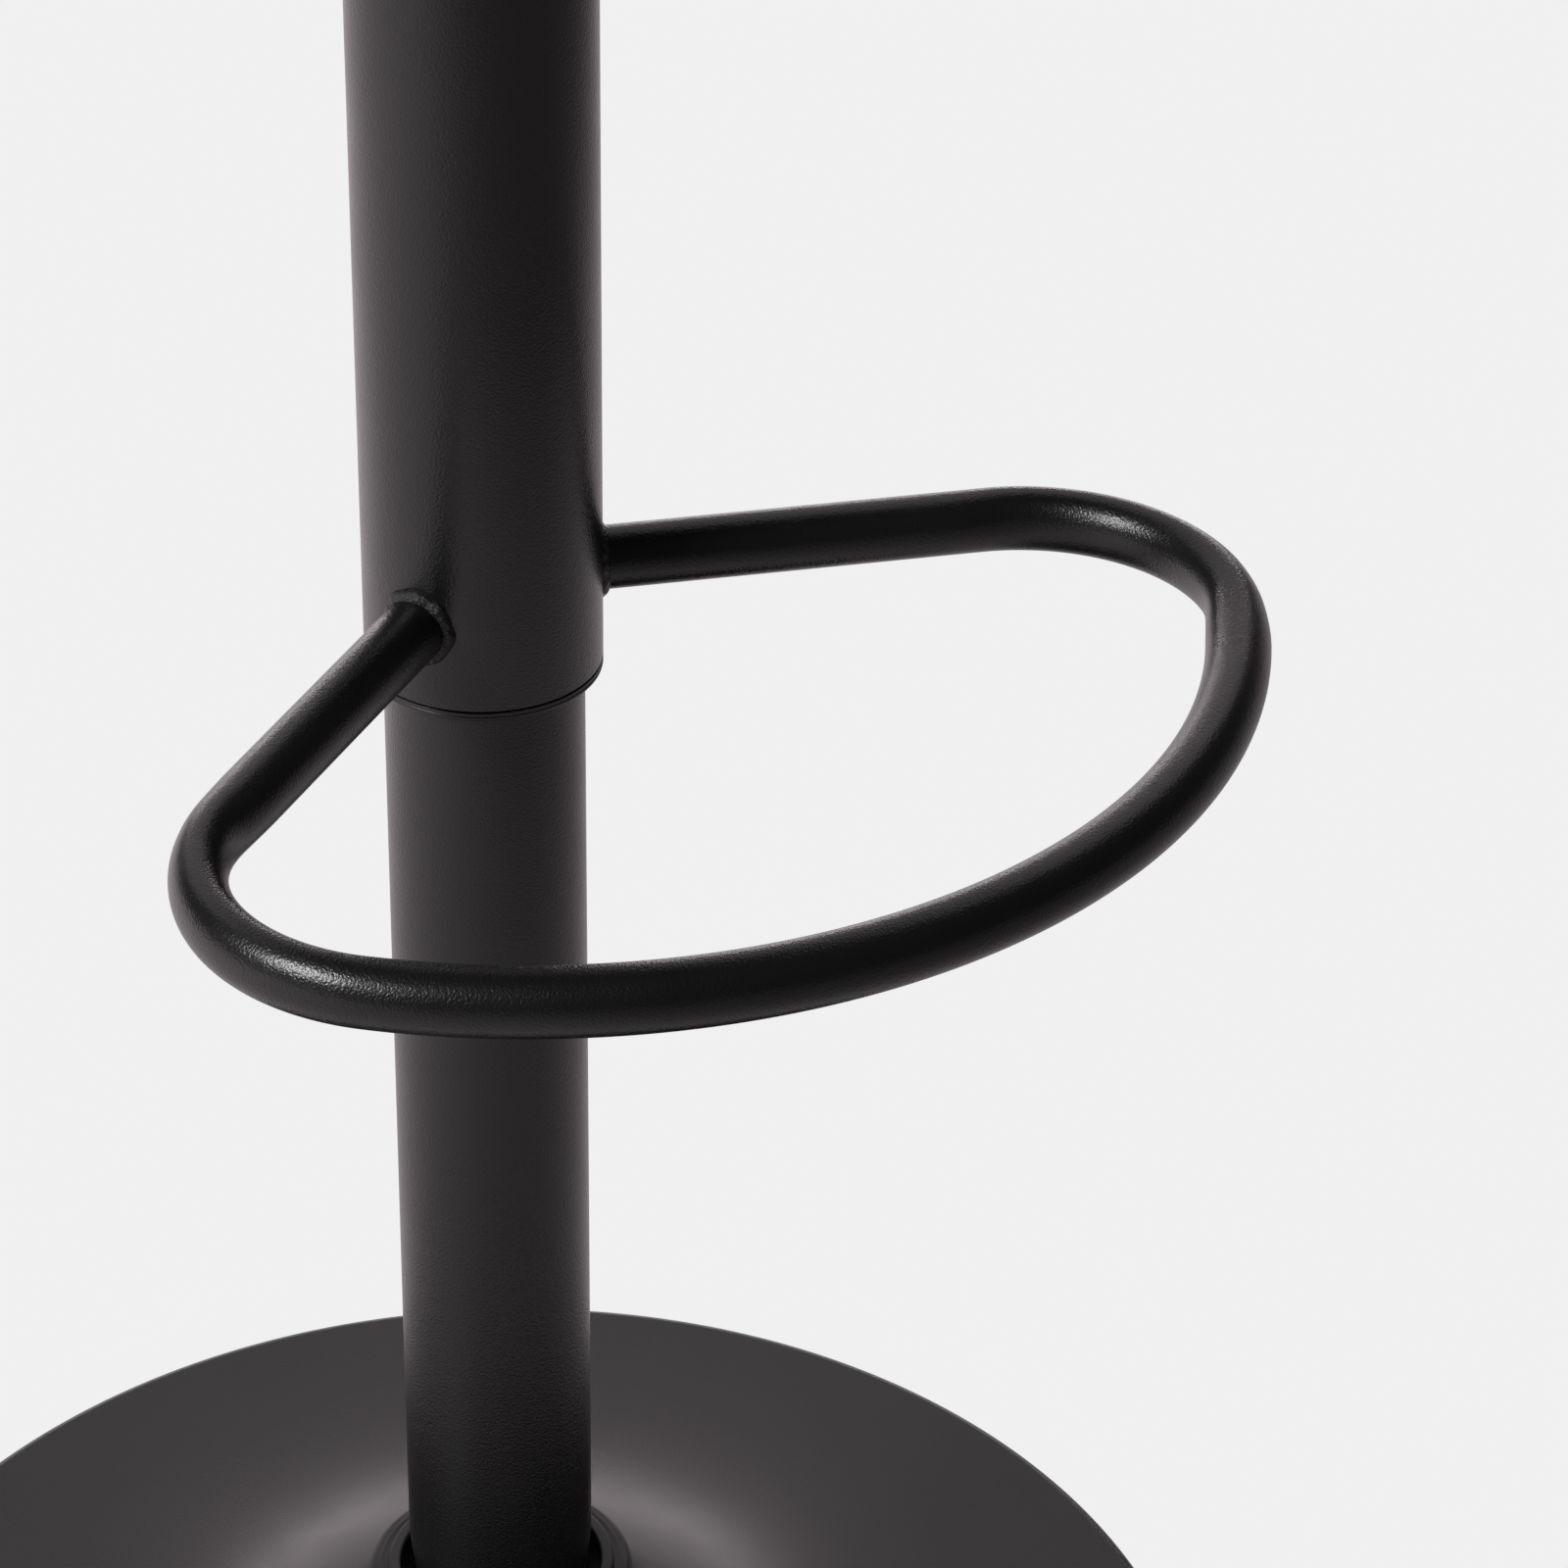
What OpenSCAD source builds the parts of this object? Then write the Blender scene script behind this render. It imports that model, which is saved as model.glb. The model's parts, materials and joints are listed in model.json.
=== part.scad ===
// Height-adjustable swivel bar stool with a fixed D-shaped footrest.
// Millimetres, +Z up. The origin is on the floor, on the column's axis. The footrest is at the front, -Y.
// The model stands at the top of its gas lift, which is its rest position.

/* [Base] */
// Diameter of the round foot
base_d = 402; // [340:1:460]
// Height of the trumpet's neck above the floor
neck_z = 69; // [62:1:76]
// Distance over which the trumpet's flare dies out
flare_run = 38; // [28:1:50]
// Thickness of the ballast plate
ballast_t = 5; // [3:0.5:8]

/* [Column] */
// Diameter of the lower, fixed tube
column_d = 50.8; // [48:0.2:52]
// Diameter of the upper, sliding sleeve
sleeve_d = 60; // [58:0.5:64]
// Wall of both tubes
tube_wall = 1.5; // [1.2:0.1:2]
// Height of the sleeve's lower end, raised
sleeve_end_z = 368; // [350:1:380]
// Travel of the gas lift
lift_travel = 210; // [150:5:210]

/* [Footrest] */
// Diameter of the footrest's bar
bar_d = 16.2; // [14:0.2:18]
// Height of the bar's axis above the sleeve's lower end
bar_rise = 21.7; // [16:0.1:60]
// Distance from the column's axis to the front of the bar's axis
bar_reach = 195.4; // [192:0.1:200]
// Radius of the broad front curve
front_r = 171.1; // [169:0.1:174]
// Radius of the two corner bends
corner_r = 50; // [48:0.5:52]
// Half of the angle that the front curve spans
front_half = 50.9; // [50:0.1:52]
// Angle between each straight arm and the front direction
arm_angle = 62.8; // [62:0.1:64]

/* [Seat] */
// Height of the seat's crown, raised
seat_z = 820; // [815:1:840]
// Diameter of the seat board
board_d = 360; // [300:1:380]
// Thickness of the seat board
board_t = 12; // [10:1:16]

/* [Hidden] */

$fn = 96;
run_gap = 0.1;                     // radial clearance of each sliding or turning fit
stop_gap = 4;                      // room left at the lowest position between parts that approach end on

// Base
pad_t = 3.5;
gasket_w = 10.8;
gasket_lip = 2.5;
skirt_t = 1.5;
base_r = base_d / 2;
ballast_z = pad_t + ballast_t;
rim_z = ballast_z + 1;             // level that the flare dies out at
shell_edge_r = 4;                  // rounding where the shell turns down
neck_r = 34;
flare_h = neck_z - rim_z;
hub_r = 27;
hub_flange_r = 38.5;
hub_top_z = neck_z - 11;

// Column: the tube is swaged down below the collar and ends in a taper
column_r = column_d / 2;
bush_depth = 80;
bush_cap_h = 12;
swage_top_z = neck_z + 20;
swage_end_z = neck_z - 3;
taper_r = 23.4;
taper_slope = 0.025;               // 1 degree 26 minutes, the usual gas-lift taper
taper_end_z = 12;

// Gas lift, from the bottom plate upwards
plate_z = 14;
plate_t = 4;
race_t = 2;
race_r = 13;
ball_r = 2;
ball_gap = 0.2;
ball_ring_r = 9.5;
ball_count = 10;
lower_race_z = plate_z + plate_t;
ball_z = lower_race_z + race_t + ball_gap + ball_r;
upper_race_z = ball_z + ball_r + ball_gap;
rod_foot_z = upper_race_z + race_t;
journal_r = 4;
rod_r = 5;
bump_top_z = 56;
cylinder_r = 14;
cylinder_wall = 1.5;
cylinder_z = bump_top_z + stop_gap + lift_travel;
gland_h = 16;
piston_z = cylinder_z + gland_h + 4;
piston_h = 14;

// Sleeve
sleeve_r = sleeve_d / 2;
sleeve_top_z = 700;
ring_lip_h = 2.9;
ring_depth = 30;
ring_round_r = 0.9;
score_d = 0.25;                    // fine line round the ring's lip
groove_d = 0.8;                    // dark line between the ring's lip and the sleeve
groove_h = 0.45;
top_ring_h = 10;
column_top_z = sleeve_top_z - top_ring_h - lift_travel - bush_cap_h - stop_gap;
cylinder_top_z = 716;
cylinder_top_r = cylinder_r - taper_slope * (cylinder_top_z - sleeve_top_z);

// Footrest
bar_r = bar_d / 2;
bar_wall = 1.5;
bar_z = sleeve_end_z + bar_rise;
front_c = [bar_reach - front_r, 0];                  // centre of the front curve, along the front direction
front_end = [cos(front_half), sin(front_half)];
corner_c = front_c + (front_r - corner_r) * front_end;
corner_turn = 90 + arm_angle - front_half;           // angle that each corner bend turns through
arm_dir = [cos(arm_angle), sin(arm_angle)];
arm_end = corner_c + corner_r * [-arm_dir[1], arm_dir[0]];
arm_along = arm_end * arm_dir;
arm_off = arm_end * [-arm_dir[1], arm_dir[0]];       // how far the arm's line passes from the column's axis
arm_foot = sqrt(sleeve_r * sleeve_r - arm_off * arm_off);
arm_len = arm_along - arm_foot;
bar_sides = 24;                                      // facets round the bar
bend_step = 5.5;                                     // degrees between its cross-sections in a bend
weld_leg = 3.4;

// Seat hardware
plate_top_z = 735;
plate_flange = [170, 150];
plate_sheet = 2.5;
trough = [100, 64];
trough_z = 704;
slot_z = 712;                      // lower edge of the slot that the lever comes out of
socket_r = 17;
bolt_x = 70;
bolt_y = 60;
bolt_r = 4;
bolt_head_r = 7.5;
bolt_head_h = 5.3;
washer_r = 8.5;
washer_t = 1.6;
dust_t = 1;
board_z = plate_top_z + dust_t;
board_r = board_d / 2;
tee_flange_r = 9.5;
tee_flange_t = 1.2;
tee_barrel_r = 5.5;
tee_barrel_h = 9;

// Lever and valve: lifting the grip, on -X, tips the inner end down onto the button
lever_r = 4;
lever_z = 725.3;
pivot_x = -32;
pin_r = 2.5;
ear_y = 10;
ear_t = 2.5;
boss_r = 7;
lever_inner = 38;
lever_outer = 160;
lever_droop = 11;
grip_len = 52;
grip_r = 7.8;
grip_round_r = 6;
button_r = 4;
button_h = 5;

// Upholstery
foam_z = board_z + board_t;
cover_gap = 0.4;
cover_t = 1.4;
cover_r = board_r + cover_gap + cover_t;
crown_h = 18;
shoulder_r = 16;
hem_w = 13;
piping_r = 2.6;
staple_count = 28;

// --- Shared shapes ---------------------------------------------------------------------------------------

module ring(outer, inner, h) {
    difference() {
        cylinder(r = outer, h = h);
        translate([0, 0, -1]) cylinder(r = inner, h = h + 2);
    }
}

module rounded_plate(size, corner, h) {
    steps = 6;
    corners = [[1, 1, 0], [-1, 1, 90], [-1, -1, 180], [1, -1, 270]];
    linear_extrude(height = h)
        polygon([
            for (c = corners, i = [0:steps])
                let (
                    a = c[2] + 90 * i / steps,
                    x = c[0] * (size[0] / 2 - corner),
                    y = c[1] * (size[1] / 2 - corner)
                )
                [x + corner * cos(a), y + corner * sin(a)]
        ]);
}

// Points of an arc about c from angle a0 to a1
function arc(c, r, a0, a1, n = 8) =
    [for (i = [0:n]) let (a = a0 + (a1 - a0) * i / n) c + r * [cos(a), sin(a)]];

// --- Base ------------------------------------------------------------------------------------------------

// Height of the trumpet's outer surface at radius r
function flare_z(r) = rim_z + flare_h * exp(-(r - neck_r) / flare_run);

module floor_pad() color("dimgray") cylinder(r = base_r - gasket_w - 0.2, h = pad_t, $fn = 180);

module rim_gasket() color("black")
    rotate_extrude($fn = 180)
        polygon(concat(
            [[base_r - gasket_w, 0]],
            arc([base_r + gasket_lip - 1.2, 1.2], 1.2, -90, 0, 6),
            [[base_r + gasket_lip, 2.2], [base_r + 0.8, pad_t], [base_r - gasket_w, pad_t]]
        ));

module ballast_plate() color("gray")
    translate([0, 0, pad_t])
        ring(base_r - skirt_t - 2, hub_r - 3, ballast_t, $fn = 180);

module hub_socket() color("gray")
    difference() {
        union() {
            translate([0, 0, ballast_z]) cylinder(r = hub_r, h = hub_top_z - ballast_z);
            translate([0, 0, hub_top_z - 2.5]) cylinder(r = hub_flange_r, h = 2.5);
        }
        taper_plug(taper_r);
    }

// The cone that the column's foot fills, straight above the hub so that it cuts clean through
module taper_plug(r) {
    rotate_extrude()
        polygon([
            [0, 0],
            [r - taper_slope * swage_end_z, 0],
            [r, swage_end_z],
            [0, swage_end_z]
        ]);
}

module hub_weld() color("dimgray")
    rotate_extrude()
        polygon([[hub_r, ballast_z], [hub_r + 4, ballast_z], [hub_r, ballast_z + 4]]);

module base_shell() color([0.11, 0.11, 0.11]) {
    steps = 36;
    edge_r = base_r - shell_edge_r;
    // Radii bunch towards the neck, where the curve is tightest
    radii = [for (i = [0:steps]) neck_r + (edge_r - neck_r) * pow(i / steps, 1.7)];
    edge_c = [edge_r, flare_z(edge_r) - shell_edge_r];
    outer = concat(
        [for (r = radii) [r, flare_z(r)]],
        arc(edge_c, shell_edge_r, 82, 0, 6),
        [[base_r, pad_t]]
    );
    inner = concat(
        [for (r = radii) [r - shell_step(r)[0], flare_z(r) - shell_step(r)[1]]],
        arc(edge_c, shell_edge_r - skirt_t, 82, 0, 6),
        [[base_r - skirt_t, pad_t]]
    );
    rotate_extrude($fn = 180)
        polygon(concat(outer, [for (i = [len(inner) - 1:-1:0]) inner[i]]));
}

// One sheet thickness along the trumpet's normal at radius r, as [inwards, downwards]
function shell_step(r) =
    let (slope = (flare_z(r) - rim_z) / flare_run, n = sqrt(1 + slope * slope))
    [skirt_t * slope / n, skirt_t / n];

module base_collar() color("black")
    rotate_extrude()
        polygon(concat(
            [[28, hub_top_z + 1]],
            arc([29, neck_z + 4.2], 1, 180, 90, 4),
            arc([30.7, neck_z + 4.4], 0.8, 90, 0, 4),
            [[31.5, neck_z + 3.4], [32, neck_z + 3.3]],
            arc([34.4, neck_z + 0.7], 2.6, 90, 0, 6),
            [[37, flare_z(37) + 0.3], [35.5, flare_z(35.5) + 0.3], [neck_r, neck_z + 0.3]],
            [[32.4, neck_z + 0.3], [32.4, hub_top_z + 1]]
        ));

// --- Column ----------------------------------------------------------------------------------------------

// Outline of the column's outside, inset by t, from its foot up to the straight tube
function column_edge(t) = concat(
    [[taper_r - taper_slope * (swage_end_z - taper_end_z) - t, taper_end_z]],
    [for (i = [0:10])
        let (s = i / 10, w = s * s * (3 - 2 * s))
        [taper_r - t + (column_r - taper_r) * w, swage_end_z + (swage_top_z - swage_end_z) * s]],
    [[column_r - t, column_top_z]]
);

module column_tube() color([0.11, 0.11, 0.11]) {
    outer = column_edge(0);
    inner = column_edge(tube_wall);
    rotate_extrude()
        polygon(concat(outer, [for (i = [len(inner) - 1:-1:0]) inner[i]]));
}

module column_end_plate() color("gray")
    difference() {
        translate([0, 0, plate_z]) rotate_extrude()
            polygon([
                [0, 0], [end_plate_r(plate_z), 0],
                [end_plate_r(plate_z + plate_t), plate_t], [0, plate_t]
            ]);
        cylinder(r = journal_r + run_gap, h = 40);
    }

function end_plate_r(z) = taper_r - taper_slope * (swage_end_z - z) - tube_wall;

module guide_bush() color("white")
    difference() {
        union() {
            translate([0, 0, column_top_z - bush_depth]) cylinder(r = column_r - tube_wall, h = bush_depth);
            translate([0, 0, column_top_z]) cylinder(r = sleeve_r - tube_wall - run_gap, h = bush_cap_h);
        }
        translate([0, 0, column_top_z - bush_depth - 1])
            cylinder(r = cylinder_r + run_gap, h = bush_depth + bush_cap_h + 2);
    }

// --- Thrust bearing and piston rod -----------------------------------------------------------------------

module bearing_lower_race() color("silver")
    translate([0, 0, lower_race_z]) ring(race_r, journal_r + run_gap, race_t);

module bearing_upper_race() color("silver")
    translate([0, 0, upper_race_z]) ring(race_r, journal_r, race_t);

module around_ball_ring() {
    for (i = [0:ball_count - 1]) rotate(360 * i / ball_count) translate([ball_ring_r, 0, 0]) children();
}

module bearing_cage() color("goldenrod")
    translate([0, 0, ball_z - 1])
        difference() {
            ring(race_r - 0.4, 6, 2);
            translate([0, 0, -1]) around_ball_ring() cylinder(r = ball_r + 0.1, h = 4, $fn = 32);
        }

module bearing_balls() color("silver")
    translate([0, 0, ball_z]) around_ball_ring() sphere(r = ball_r, $fn = 32);

module piston_rod() color("silver")
    difference() {
        union() {
            translate([0, 0, 10.5]) cylinder(r = journal_r, h = rod_foot_z - 10.5 + 1);
            translate([0, 0, rod_foot_z]) cylinder(r = rod_r, h = piston_z + piston_h - rod_foot_z);
        }
        translate([0, 0, 12.4]) ring(journal_r + 1, 3.2, 1.2);
    }

module rod_clip() color("dimgray")
    translate([0, 0, 12.4])
        difference() {
            ring(7.5, 3.2, 1.2);
            translate([0, -2.6, -1]) cube([9, 5.2, 4]);
        }

module bump_stop() color("black")
    translate([0, 0, rod_foot_z])
        difference() {
            union() {
                cylinder(r = 11, h = 10);
                translate([0, 0, 10]) cylinder(r1 = 11, r2 = 9, h = bump_top_z - rod_foot_z - 10);
            }
            translate([0, 0, -1]) cylinder(r = rod_r, h = 60);
        }

module piston() color("gray")
    translate([0, 0, piston_z])
        difference() {
            ring(cylinder_r - cylinder_wall - run_gap, rod_r, piston_h);
            translate([0, 0, 5]) ring(cylinder_r, 11, 4);
        }

// --- Gas cylinder and sleeve -----------------------------------------------------------------------------

module gas_cylinder() color([0.16, 0.16, 0.17])
    difference() {
        union() {
            translate([0, 0, cylinder_z]) cylinder(r = cylinder_r, h = sleeve_top_z - cylinder_z);
            translate([0, 0, sleeve_top_z])
                cylinder(r1 = cylinder_r, r2 = cylinder_top_r, h = cylinder_top_z - sleeve_top_z);
        }
        translate([0, 0, cylinder_z - 1])
            cylinder(r = cylinder_r - cylinder_wall, h = sleeve_top_z - 30 - cylinder_z);
        translate([0, 0, sleeve_top_z - 40]) cylinder(r = button_r + run_gap, h = 80);
    }

module cylinder_gland() color("black")
    translate([0, 0, cylinder_z]) ring(cylinder_r - cylinder_wall, rod_r + run_gap, gland_h);

module column_sleeve() color([0.11, 0.11, 0.11])
    translate([0, 0, sleeve_end_z]) ring(sleeve_r, sleeve_r - tube_wall, sleeve_top_z - sleeve_end_z);

module sleeve_guide_ring() color("black") {
    inner = column_r + run_gap;
    foot_z = sleeve_end_z - ring_lip_h;
    score_z = sleeve_end_z - ring_lip_h / 2;
    rotate_extrude()
        polygon(concat(
            [[inner, foot_z + 0.5], [inner + 0.5, foot_z]],
            arc([sleeve_r - ring_round_r, foot_z + ring_round_r], ring_round_r, -90, 0, 5),
            [[sleeve_r, score_z - score_d], [sleeve_r - score_d, score_z], [sleeve_r, score_z + score_d]],
            [[sleeve_r, sleeve_end_z - groove_h], [sleeve_r - groove_d, sleeve_end_z - groove_h]],
            [[sleeve_r - groove_d, sleeve_end_z], [sleeve_r - tube_wall, sleeve_end_z]],
            [[sleeve_r - tube_wall, sleeve_end_z + ring_depth], [inner, sleeve_end_z + ring_depth]]
        ));
}

module sleeve_top_ring() color("dimgray")
    translate([0, 0, sleeve_top_z - top_ring_h]) ring(sleeve_r - tube_wall, cylinder_r, top_ring_h);

// --- Footrest --------------------------------------------------------------------------------------------

// The bar's plane, with the front direction along +X, turned so that the front is -Y
module footrest_place() {
    translate([0, 0, bar_z]) rotate([0, 0, -90]) children();
}

// Cross-sections of a bend about c: each is its middle and the direction that points out of the loop
function bend_sections(c, r, a0, a1) =
    let (n = ceil(abs(a1 - a0) / bend_step))
    [for (i = [0:n]) let (a = a0 + (a1 - a0) * i / n, out = [cos(a), sin(a)]) [c + r * out, out]];

function but_last(list) = [for (i = [0:len(list) - 2]) list[i]];

// From one arm round to the other
arm_turn = front_half + corner_turn;
bar_sections = concat(
    but_last(bend_sections(corner_c, corner_r, arm_turn, front_half)),
    but_last(bend_sections(front_c, front_r, front_half, -front_half)),
    bend_sections([corner_c[0], -corner_c[1]], corner_r, -front_half, -arm_turn)
);

function section_points(section, r) =
    [for (i = [0:bar_sides - 1])
        let (t = 360 * i / bar_sides, p = section[0] + r * cos(t) * section[1])
        [p[0], p[1], r * sin(t)]];

// The same cross-section slid along direction d until each point meets the sleeve
function foot_points(section, r, d) =
    [for (p = section_points(section, r))
        let (
            b = p[0] * d[0] + p[1] * d[1],
            c = p[0] * p[0] + p[1] * p[1] - sleeve_r * sleeve_r,
            go = -b - sqrt(b * b - c)
        )
        [p[0] + go * d[0], p[1] + go * d[1], p[2]]];

function wall_points(r) =
    let (last = bar_sections[len(bar_sections) - 1])
    concat(
        foot_points(bar_sections[0], r, [-arm_dir[0], -arm_dir[1]]),
        [for (section = bar_sections) each section_points(section, r)],
        foot_points(last, r, [-arm_dir[0], arm_dir[1]])
    );

// Facets of one wall of the tube, whose points start at number k
function wall_faces(k, rings, inward) =
    [for (j = [0:rings - 2], i = [0:bar_sides - 1])
        let (
            a = k + j * bar_sides + i,
            b = k + j * bar_sides + (i + 1) % bar_sides,
            quad = [a, a + bar_sides, b + bar_sides, b]
        )
        inward ? [quad[3], quad[2], quad[1], quad[0]] : quad];

// The cut end of the tube between an outer ring of points from o on and an inner one from n on
function end_faces(o, n, turned) =
    [for (i = [0:bar_sides - 1])
        let (
            j = (i + 1) % bar_sides,
            facing = [[o + i, n + j, n + i], [o + i, o + j, n + j]],
            away = [[o + i, n + i, n + j], [o + i, n + j, o + j]]
        )
        each (turned ? away : facing)];

module footrest_bar() color([0.09, 0.09, 0.09]) {
    rings = len(bar_sections) + 2;
    inner = rings * bar_sides;
    last = (rings - 1) * bar_sides;
    footrest_place()
        polyhedron(
            points = concat(wall_points(bar_r), wall_points(bar_r - bar_wall)),
            faces = concat(
                wall_faces(0, rings, false),
                wall_faces(inner, rings, true),
                end_faces(0, inner, false),
                end_faces(last, inner + last, true)
            ),
            convexity = 6
        );
}

// A frame at the corner's end on one side, whose +Z runs along the arm towards the sleeve
module arm_place() {
    translate([corner_c[0], corner_c[1], 0]) rotate([0, 0, arm_turn])
        translate([corner_r, 0, 0]) rotate([-90, 0, 0]) children();
}

module sleeve_cut() {
    translate([0, 0, -20]) cylinder(r = sleeve_r, h = 40);
}

// A fillet of weld round the arm's foot, dished to the sleeve
module arm_weld() {
    difference() {
        arm_place()
            translate([0, 0, arm_len - weld_leg]) difference() {
                union() {
                    cylinder(r1 = bar_r + 0.2, r2 = bar_r + weld_leg, h = weld_leg);
                    translate([0, 0, weld_leg]) cylinder(r = bar_r + weld_leg, h = 5);
                }
                translate([0, 0, -1]) cylinder(r = bar_r, h = 20);
            }
        sleeve_cut();
    }
}

module footrest_welds() color([0.09, 0.09, 0.09])
    footrest_place() {
        arm_weld();
        mirror([0, 1, 0]) arm_weld();
    }

// --- Seat plate and fastenings ---------------------------------------------------------------------------

module at_bolts() {
    for (x = [-bolt_x, bolt_x], y = [-bolt_y, bolt_y]) translate([x, y, 0]) children();
}

module seat_plate() color([0.11, 0.11, 0.11]) {
    depth = plate_top_z - trough_z;
    difference() {
        union() {
            translate([0, 0, plate_top_z - plate_sheet]) rounded_plate(plate_flange, 14, plate_sheet);
            translate([0, 0, trough_z]) rounded_plate(trough + 2 * [plate_sheet, plate_sheet], 10, depth - 1);
        }
        translate([0, 0, trough_z + plate_sheet]) rounded_plate(trough, 8, depth);
        translate([0, 0, trough_z - 1]) cylinder(r = socket_r, h = 10);
        at_bolts() translate([0, 0, plate_top_z - 10]) cylinder(r = bolt_r + 0.4, h = 20);
        translate([-trough[0] / 2 - 10, -7, slot_z]) cube([20, 14, plate_top_z - plate_sheet - slot_z]);
    }
    for (s = [-1, 1])
        difference() {
            translate([pivot_x - 8, s > 0 ? ear_y : -ear_y - ear_t, trough_z + plate_sheet])
                cube([16, ear_t, lever_z + 6 - trough_z - plate_sheet]);
            translate([pivot_x, -20, lever_z]) rotate([-90, 0, 0]) cylinder(r = pin_r, h = 40);
        }
}

module taper_socket() color("gray") {
    h = cylinder_top_z - sleeve_top_z;
    difference() {
        translate([0, 0, sleeve_top_z]) cylinder(r = socket_r, h = h);
        translate([0, 0, sleeve_top_z - 1])
            cylinder(r1 = cylinder_r + taper_slope, r2 = cylinder_top_r - taper_slope, h = h + 2);
    }
}

module lever_pin() color("silver")
    translate([pivot_x, -ear_y - ear_t - 1.5, lever_z]) rotate([-90, 0, 0])
        cylinder(r = pin_r, h = 2 * (ear_y + ear_t + 1.5));

module seat_bolts() color("silver") {
    head_z = plate_top_z - plate_sheet - washer_t - bolt_head_h;
    shank_z = head_z + bolt_head_h - 1;
    at_bolts() {
        translate([0, 0, head_z]) cylinder(r = bolt_head_r, h = bolt_head_h, $fn = 6);
        translate([0, 0, shank_z]) cylinder(r = bolt_r, h = foam_z - 2 - shank_z);
    }
}

module seat_washers() color("silver")
    at_bolts() translate([0, 0, plate_top_z - plate_sheet - washer_t]) ring(washer_r, bolt_r + 0.3, washer_t);

module seat_tee_nuts() color("silver")
    at_bolts() difference() {
        union() {
            translate([0, 0, foam_z - tee_flange_t]) cylinder(r = tee_flange_r, h = tee_flange_t);
            translate([0, 0, foam_z - tee_barrel_h]) cylinder(r = tee_barrel_r, h = tee_barrel_h);
        }
        translate([0, 0, foam_z - 12]) cylinder(r = bolt_r, h = 20);
    }

module seat_board() color("burlywood")
    difference() {
        translate([0, 0, board_z]) cylinder(r = board_r, h = board_t, $fn = 180);
        at_bolts() {
            translate([0, 0, board_z - 1]) cylinder(r = tee_barrel_r, h = board_t + 2);
            translate([0, 0, foam_z - tee_flange_t]) cylinder(r = tee_flange_r, h = 5);
        }
    }

module dust_cover() color("black")
    difference() {
        translate([0, 0, plate_top_z]) cylinder(r = cover_r - hem_w - 1, h = dust_t, $fn = 180);
        at_bolts() translate([0, 0, plate_top_z - 1]) cylinder(r = bolt_r + 0.4, h = 4);
    }

// --- Lever and valve -------------------------------------------------------------------------------------

// The lever's outer stretch: a frame whose +X runs out along the rod from the pivot
module lever_outer_place() {
    translate([pivot_x, 0, lever_z]) rotate([0, lever_droop, 180]) children();
}

module lever_rod() color("silver")
    difference() {
        union() {
            translate([pivot_x, 0, lever_z]) rotate([0, 90, 0]) cylinder(r = lever_r, h = lever_inner);
            lever_outer_place() rotate([0, 90, 0]) cylinder(r = lever_r, h = lever_outer);
            translate([pivot_x, 0, lever_z]) rotate([90, 0, 0])
                cylinder(r = boss_r, h = 2 * ear_y - 1, center = true);
        }
        translate([pivot_x, -20, lever_z]) rotate([-90, 0, 0]) cylinder(r = pin_r + run_gap / 2, h = 40);
    }

module lever_grip() color("black")
    lever_outer_place() translate([lever_outer - grip_len + 6, 0, 0]) rotate([0, 90, 0])
        difference() {
            rotate_extrude()
                polygon(concat(
                    [[0, 0], [grip_r - 2.6, 0]],
                    [for (i = [0:10])
                        let (s = i / 10)
                        [grip_r - 2.2 * (1 - sin(90 * s)), 1 + (grip_len - grip_round_r - 1) * s]],
                    arc([grip_r - grip_round_r, grip_len - grip_round_r], grip_round_r, 0, 90, 8),
                    [[0, grip_len]]
                ));
            translate([0, 0, -1]) cylinder(r = lever_r, h = grip_len - 5);
        }

module valve_button() color("silver") {
    foot_z = sleeve_top_z - 8;
    translate([0, 0, foot_z]) cylinder(r = button_r, h = cylinder_top_z + button_h - foot_z);
}

// --- Upholstery ------------------------------------------------------------------------------------------

// Outline of the cushion's side and crown, grown outwards by t, from its lower edge to the middle of the top
function cushion_edge(t, from_z) =
    let (
        side = board_r + t,
        top = seat_z - cover_t - cover_gap + t,
        edge_top = top - crown_h,
        c = [side - shoulder_r, edge_top - shoulder_r]
    )
    concat(
        [[side, from_z]],
        arc(c, shoulder_r, 0, 75, 8),
        [for (i = [1:12])
            let (s = i / 12, r0 = c[0] + shoulder_r * cos(75), z0 = c[1] + shoulder_r * sin(75))
            [r0 * (1 - s), z0 + (top - z0) * sin(90 * s)]]
    );

module seat_foam() color("khaki")
    rotate_extrude($fn = 180) polygon(concat([[0, foam_z]], cushion_edge(0, foam_z)));

module seat_cover() color([0.1, 0.1, 0.1]) {
    hem_z = board_z - 0.1 - cover_t;
    outer = cushion_edge(cover_gap + cover_t, hem_z);
    inner = cushion_edge(cover_gap, board_z - 0.1);
    rotate_extrude($fn = 180)
        polygon(concat(
            [[cover_r - hem_w, hem_z]],
            outer,
            [for (i = [len(inner) - 1:-1:0]) inner[i]],
            [[cover_r - hem_w, board_z - 0.1]]
        ));
}

module seat_piping() color([0.1, 0.1, 0.1]) {
    edge_top = seat_z - crown_h;
    lean = 50;
    centre = [
        cover_r - shoulder_r + (shoulder_r + piping_r + 0.2) * cos(lean),
        edge_top - shoulder_r + (shoulder_r + piping_r + 0.2) * sin(lean)
    ];
    translate([0, 0, centre[1]])
        rotate_extrude($fn = 180) translate([centre[0], 0]) circle(r = piping_r, $fn = 32);
}

module cover_staples() color("silver")
    for (i = [0:staple_count - 1])
        rotate(360 * (i + 0.5) / staple_count)
            translate([cover_r - hem_w / 2 - 2, 0, board_z - 0.1 - cover_t - 0.5])
                rotate(20) translate([-0.5, -5, 0]) cube([1, 10, 0.5]);

// --- Choice of node --------------------------------------------------------------------------------------

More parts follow.
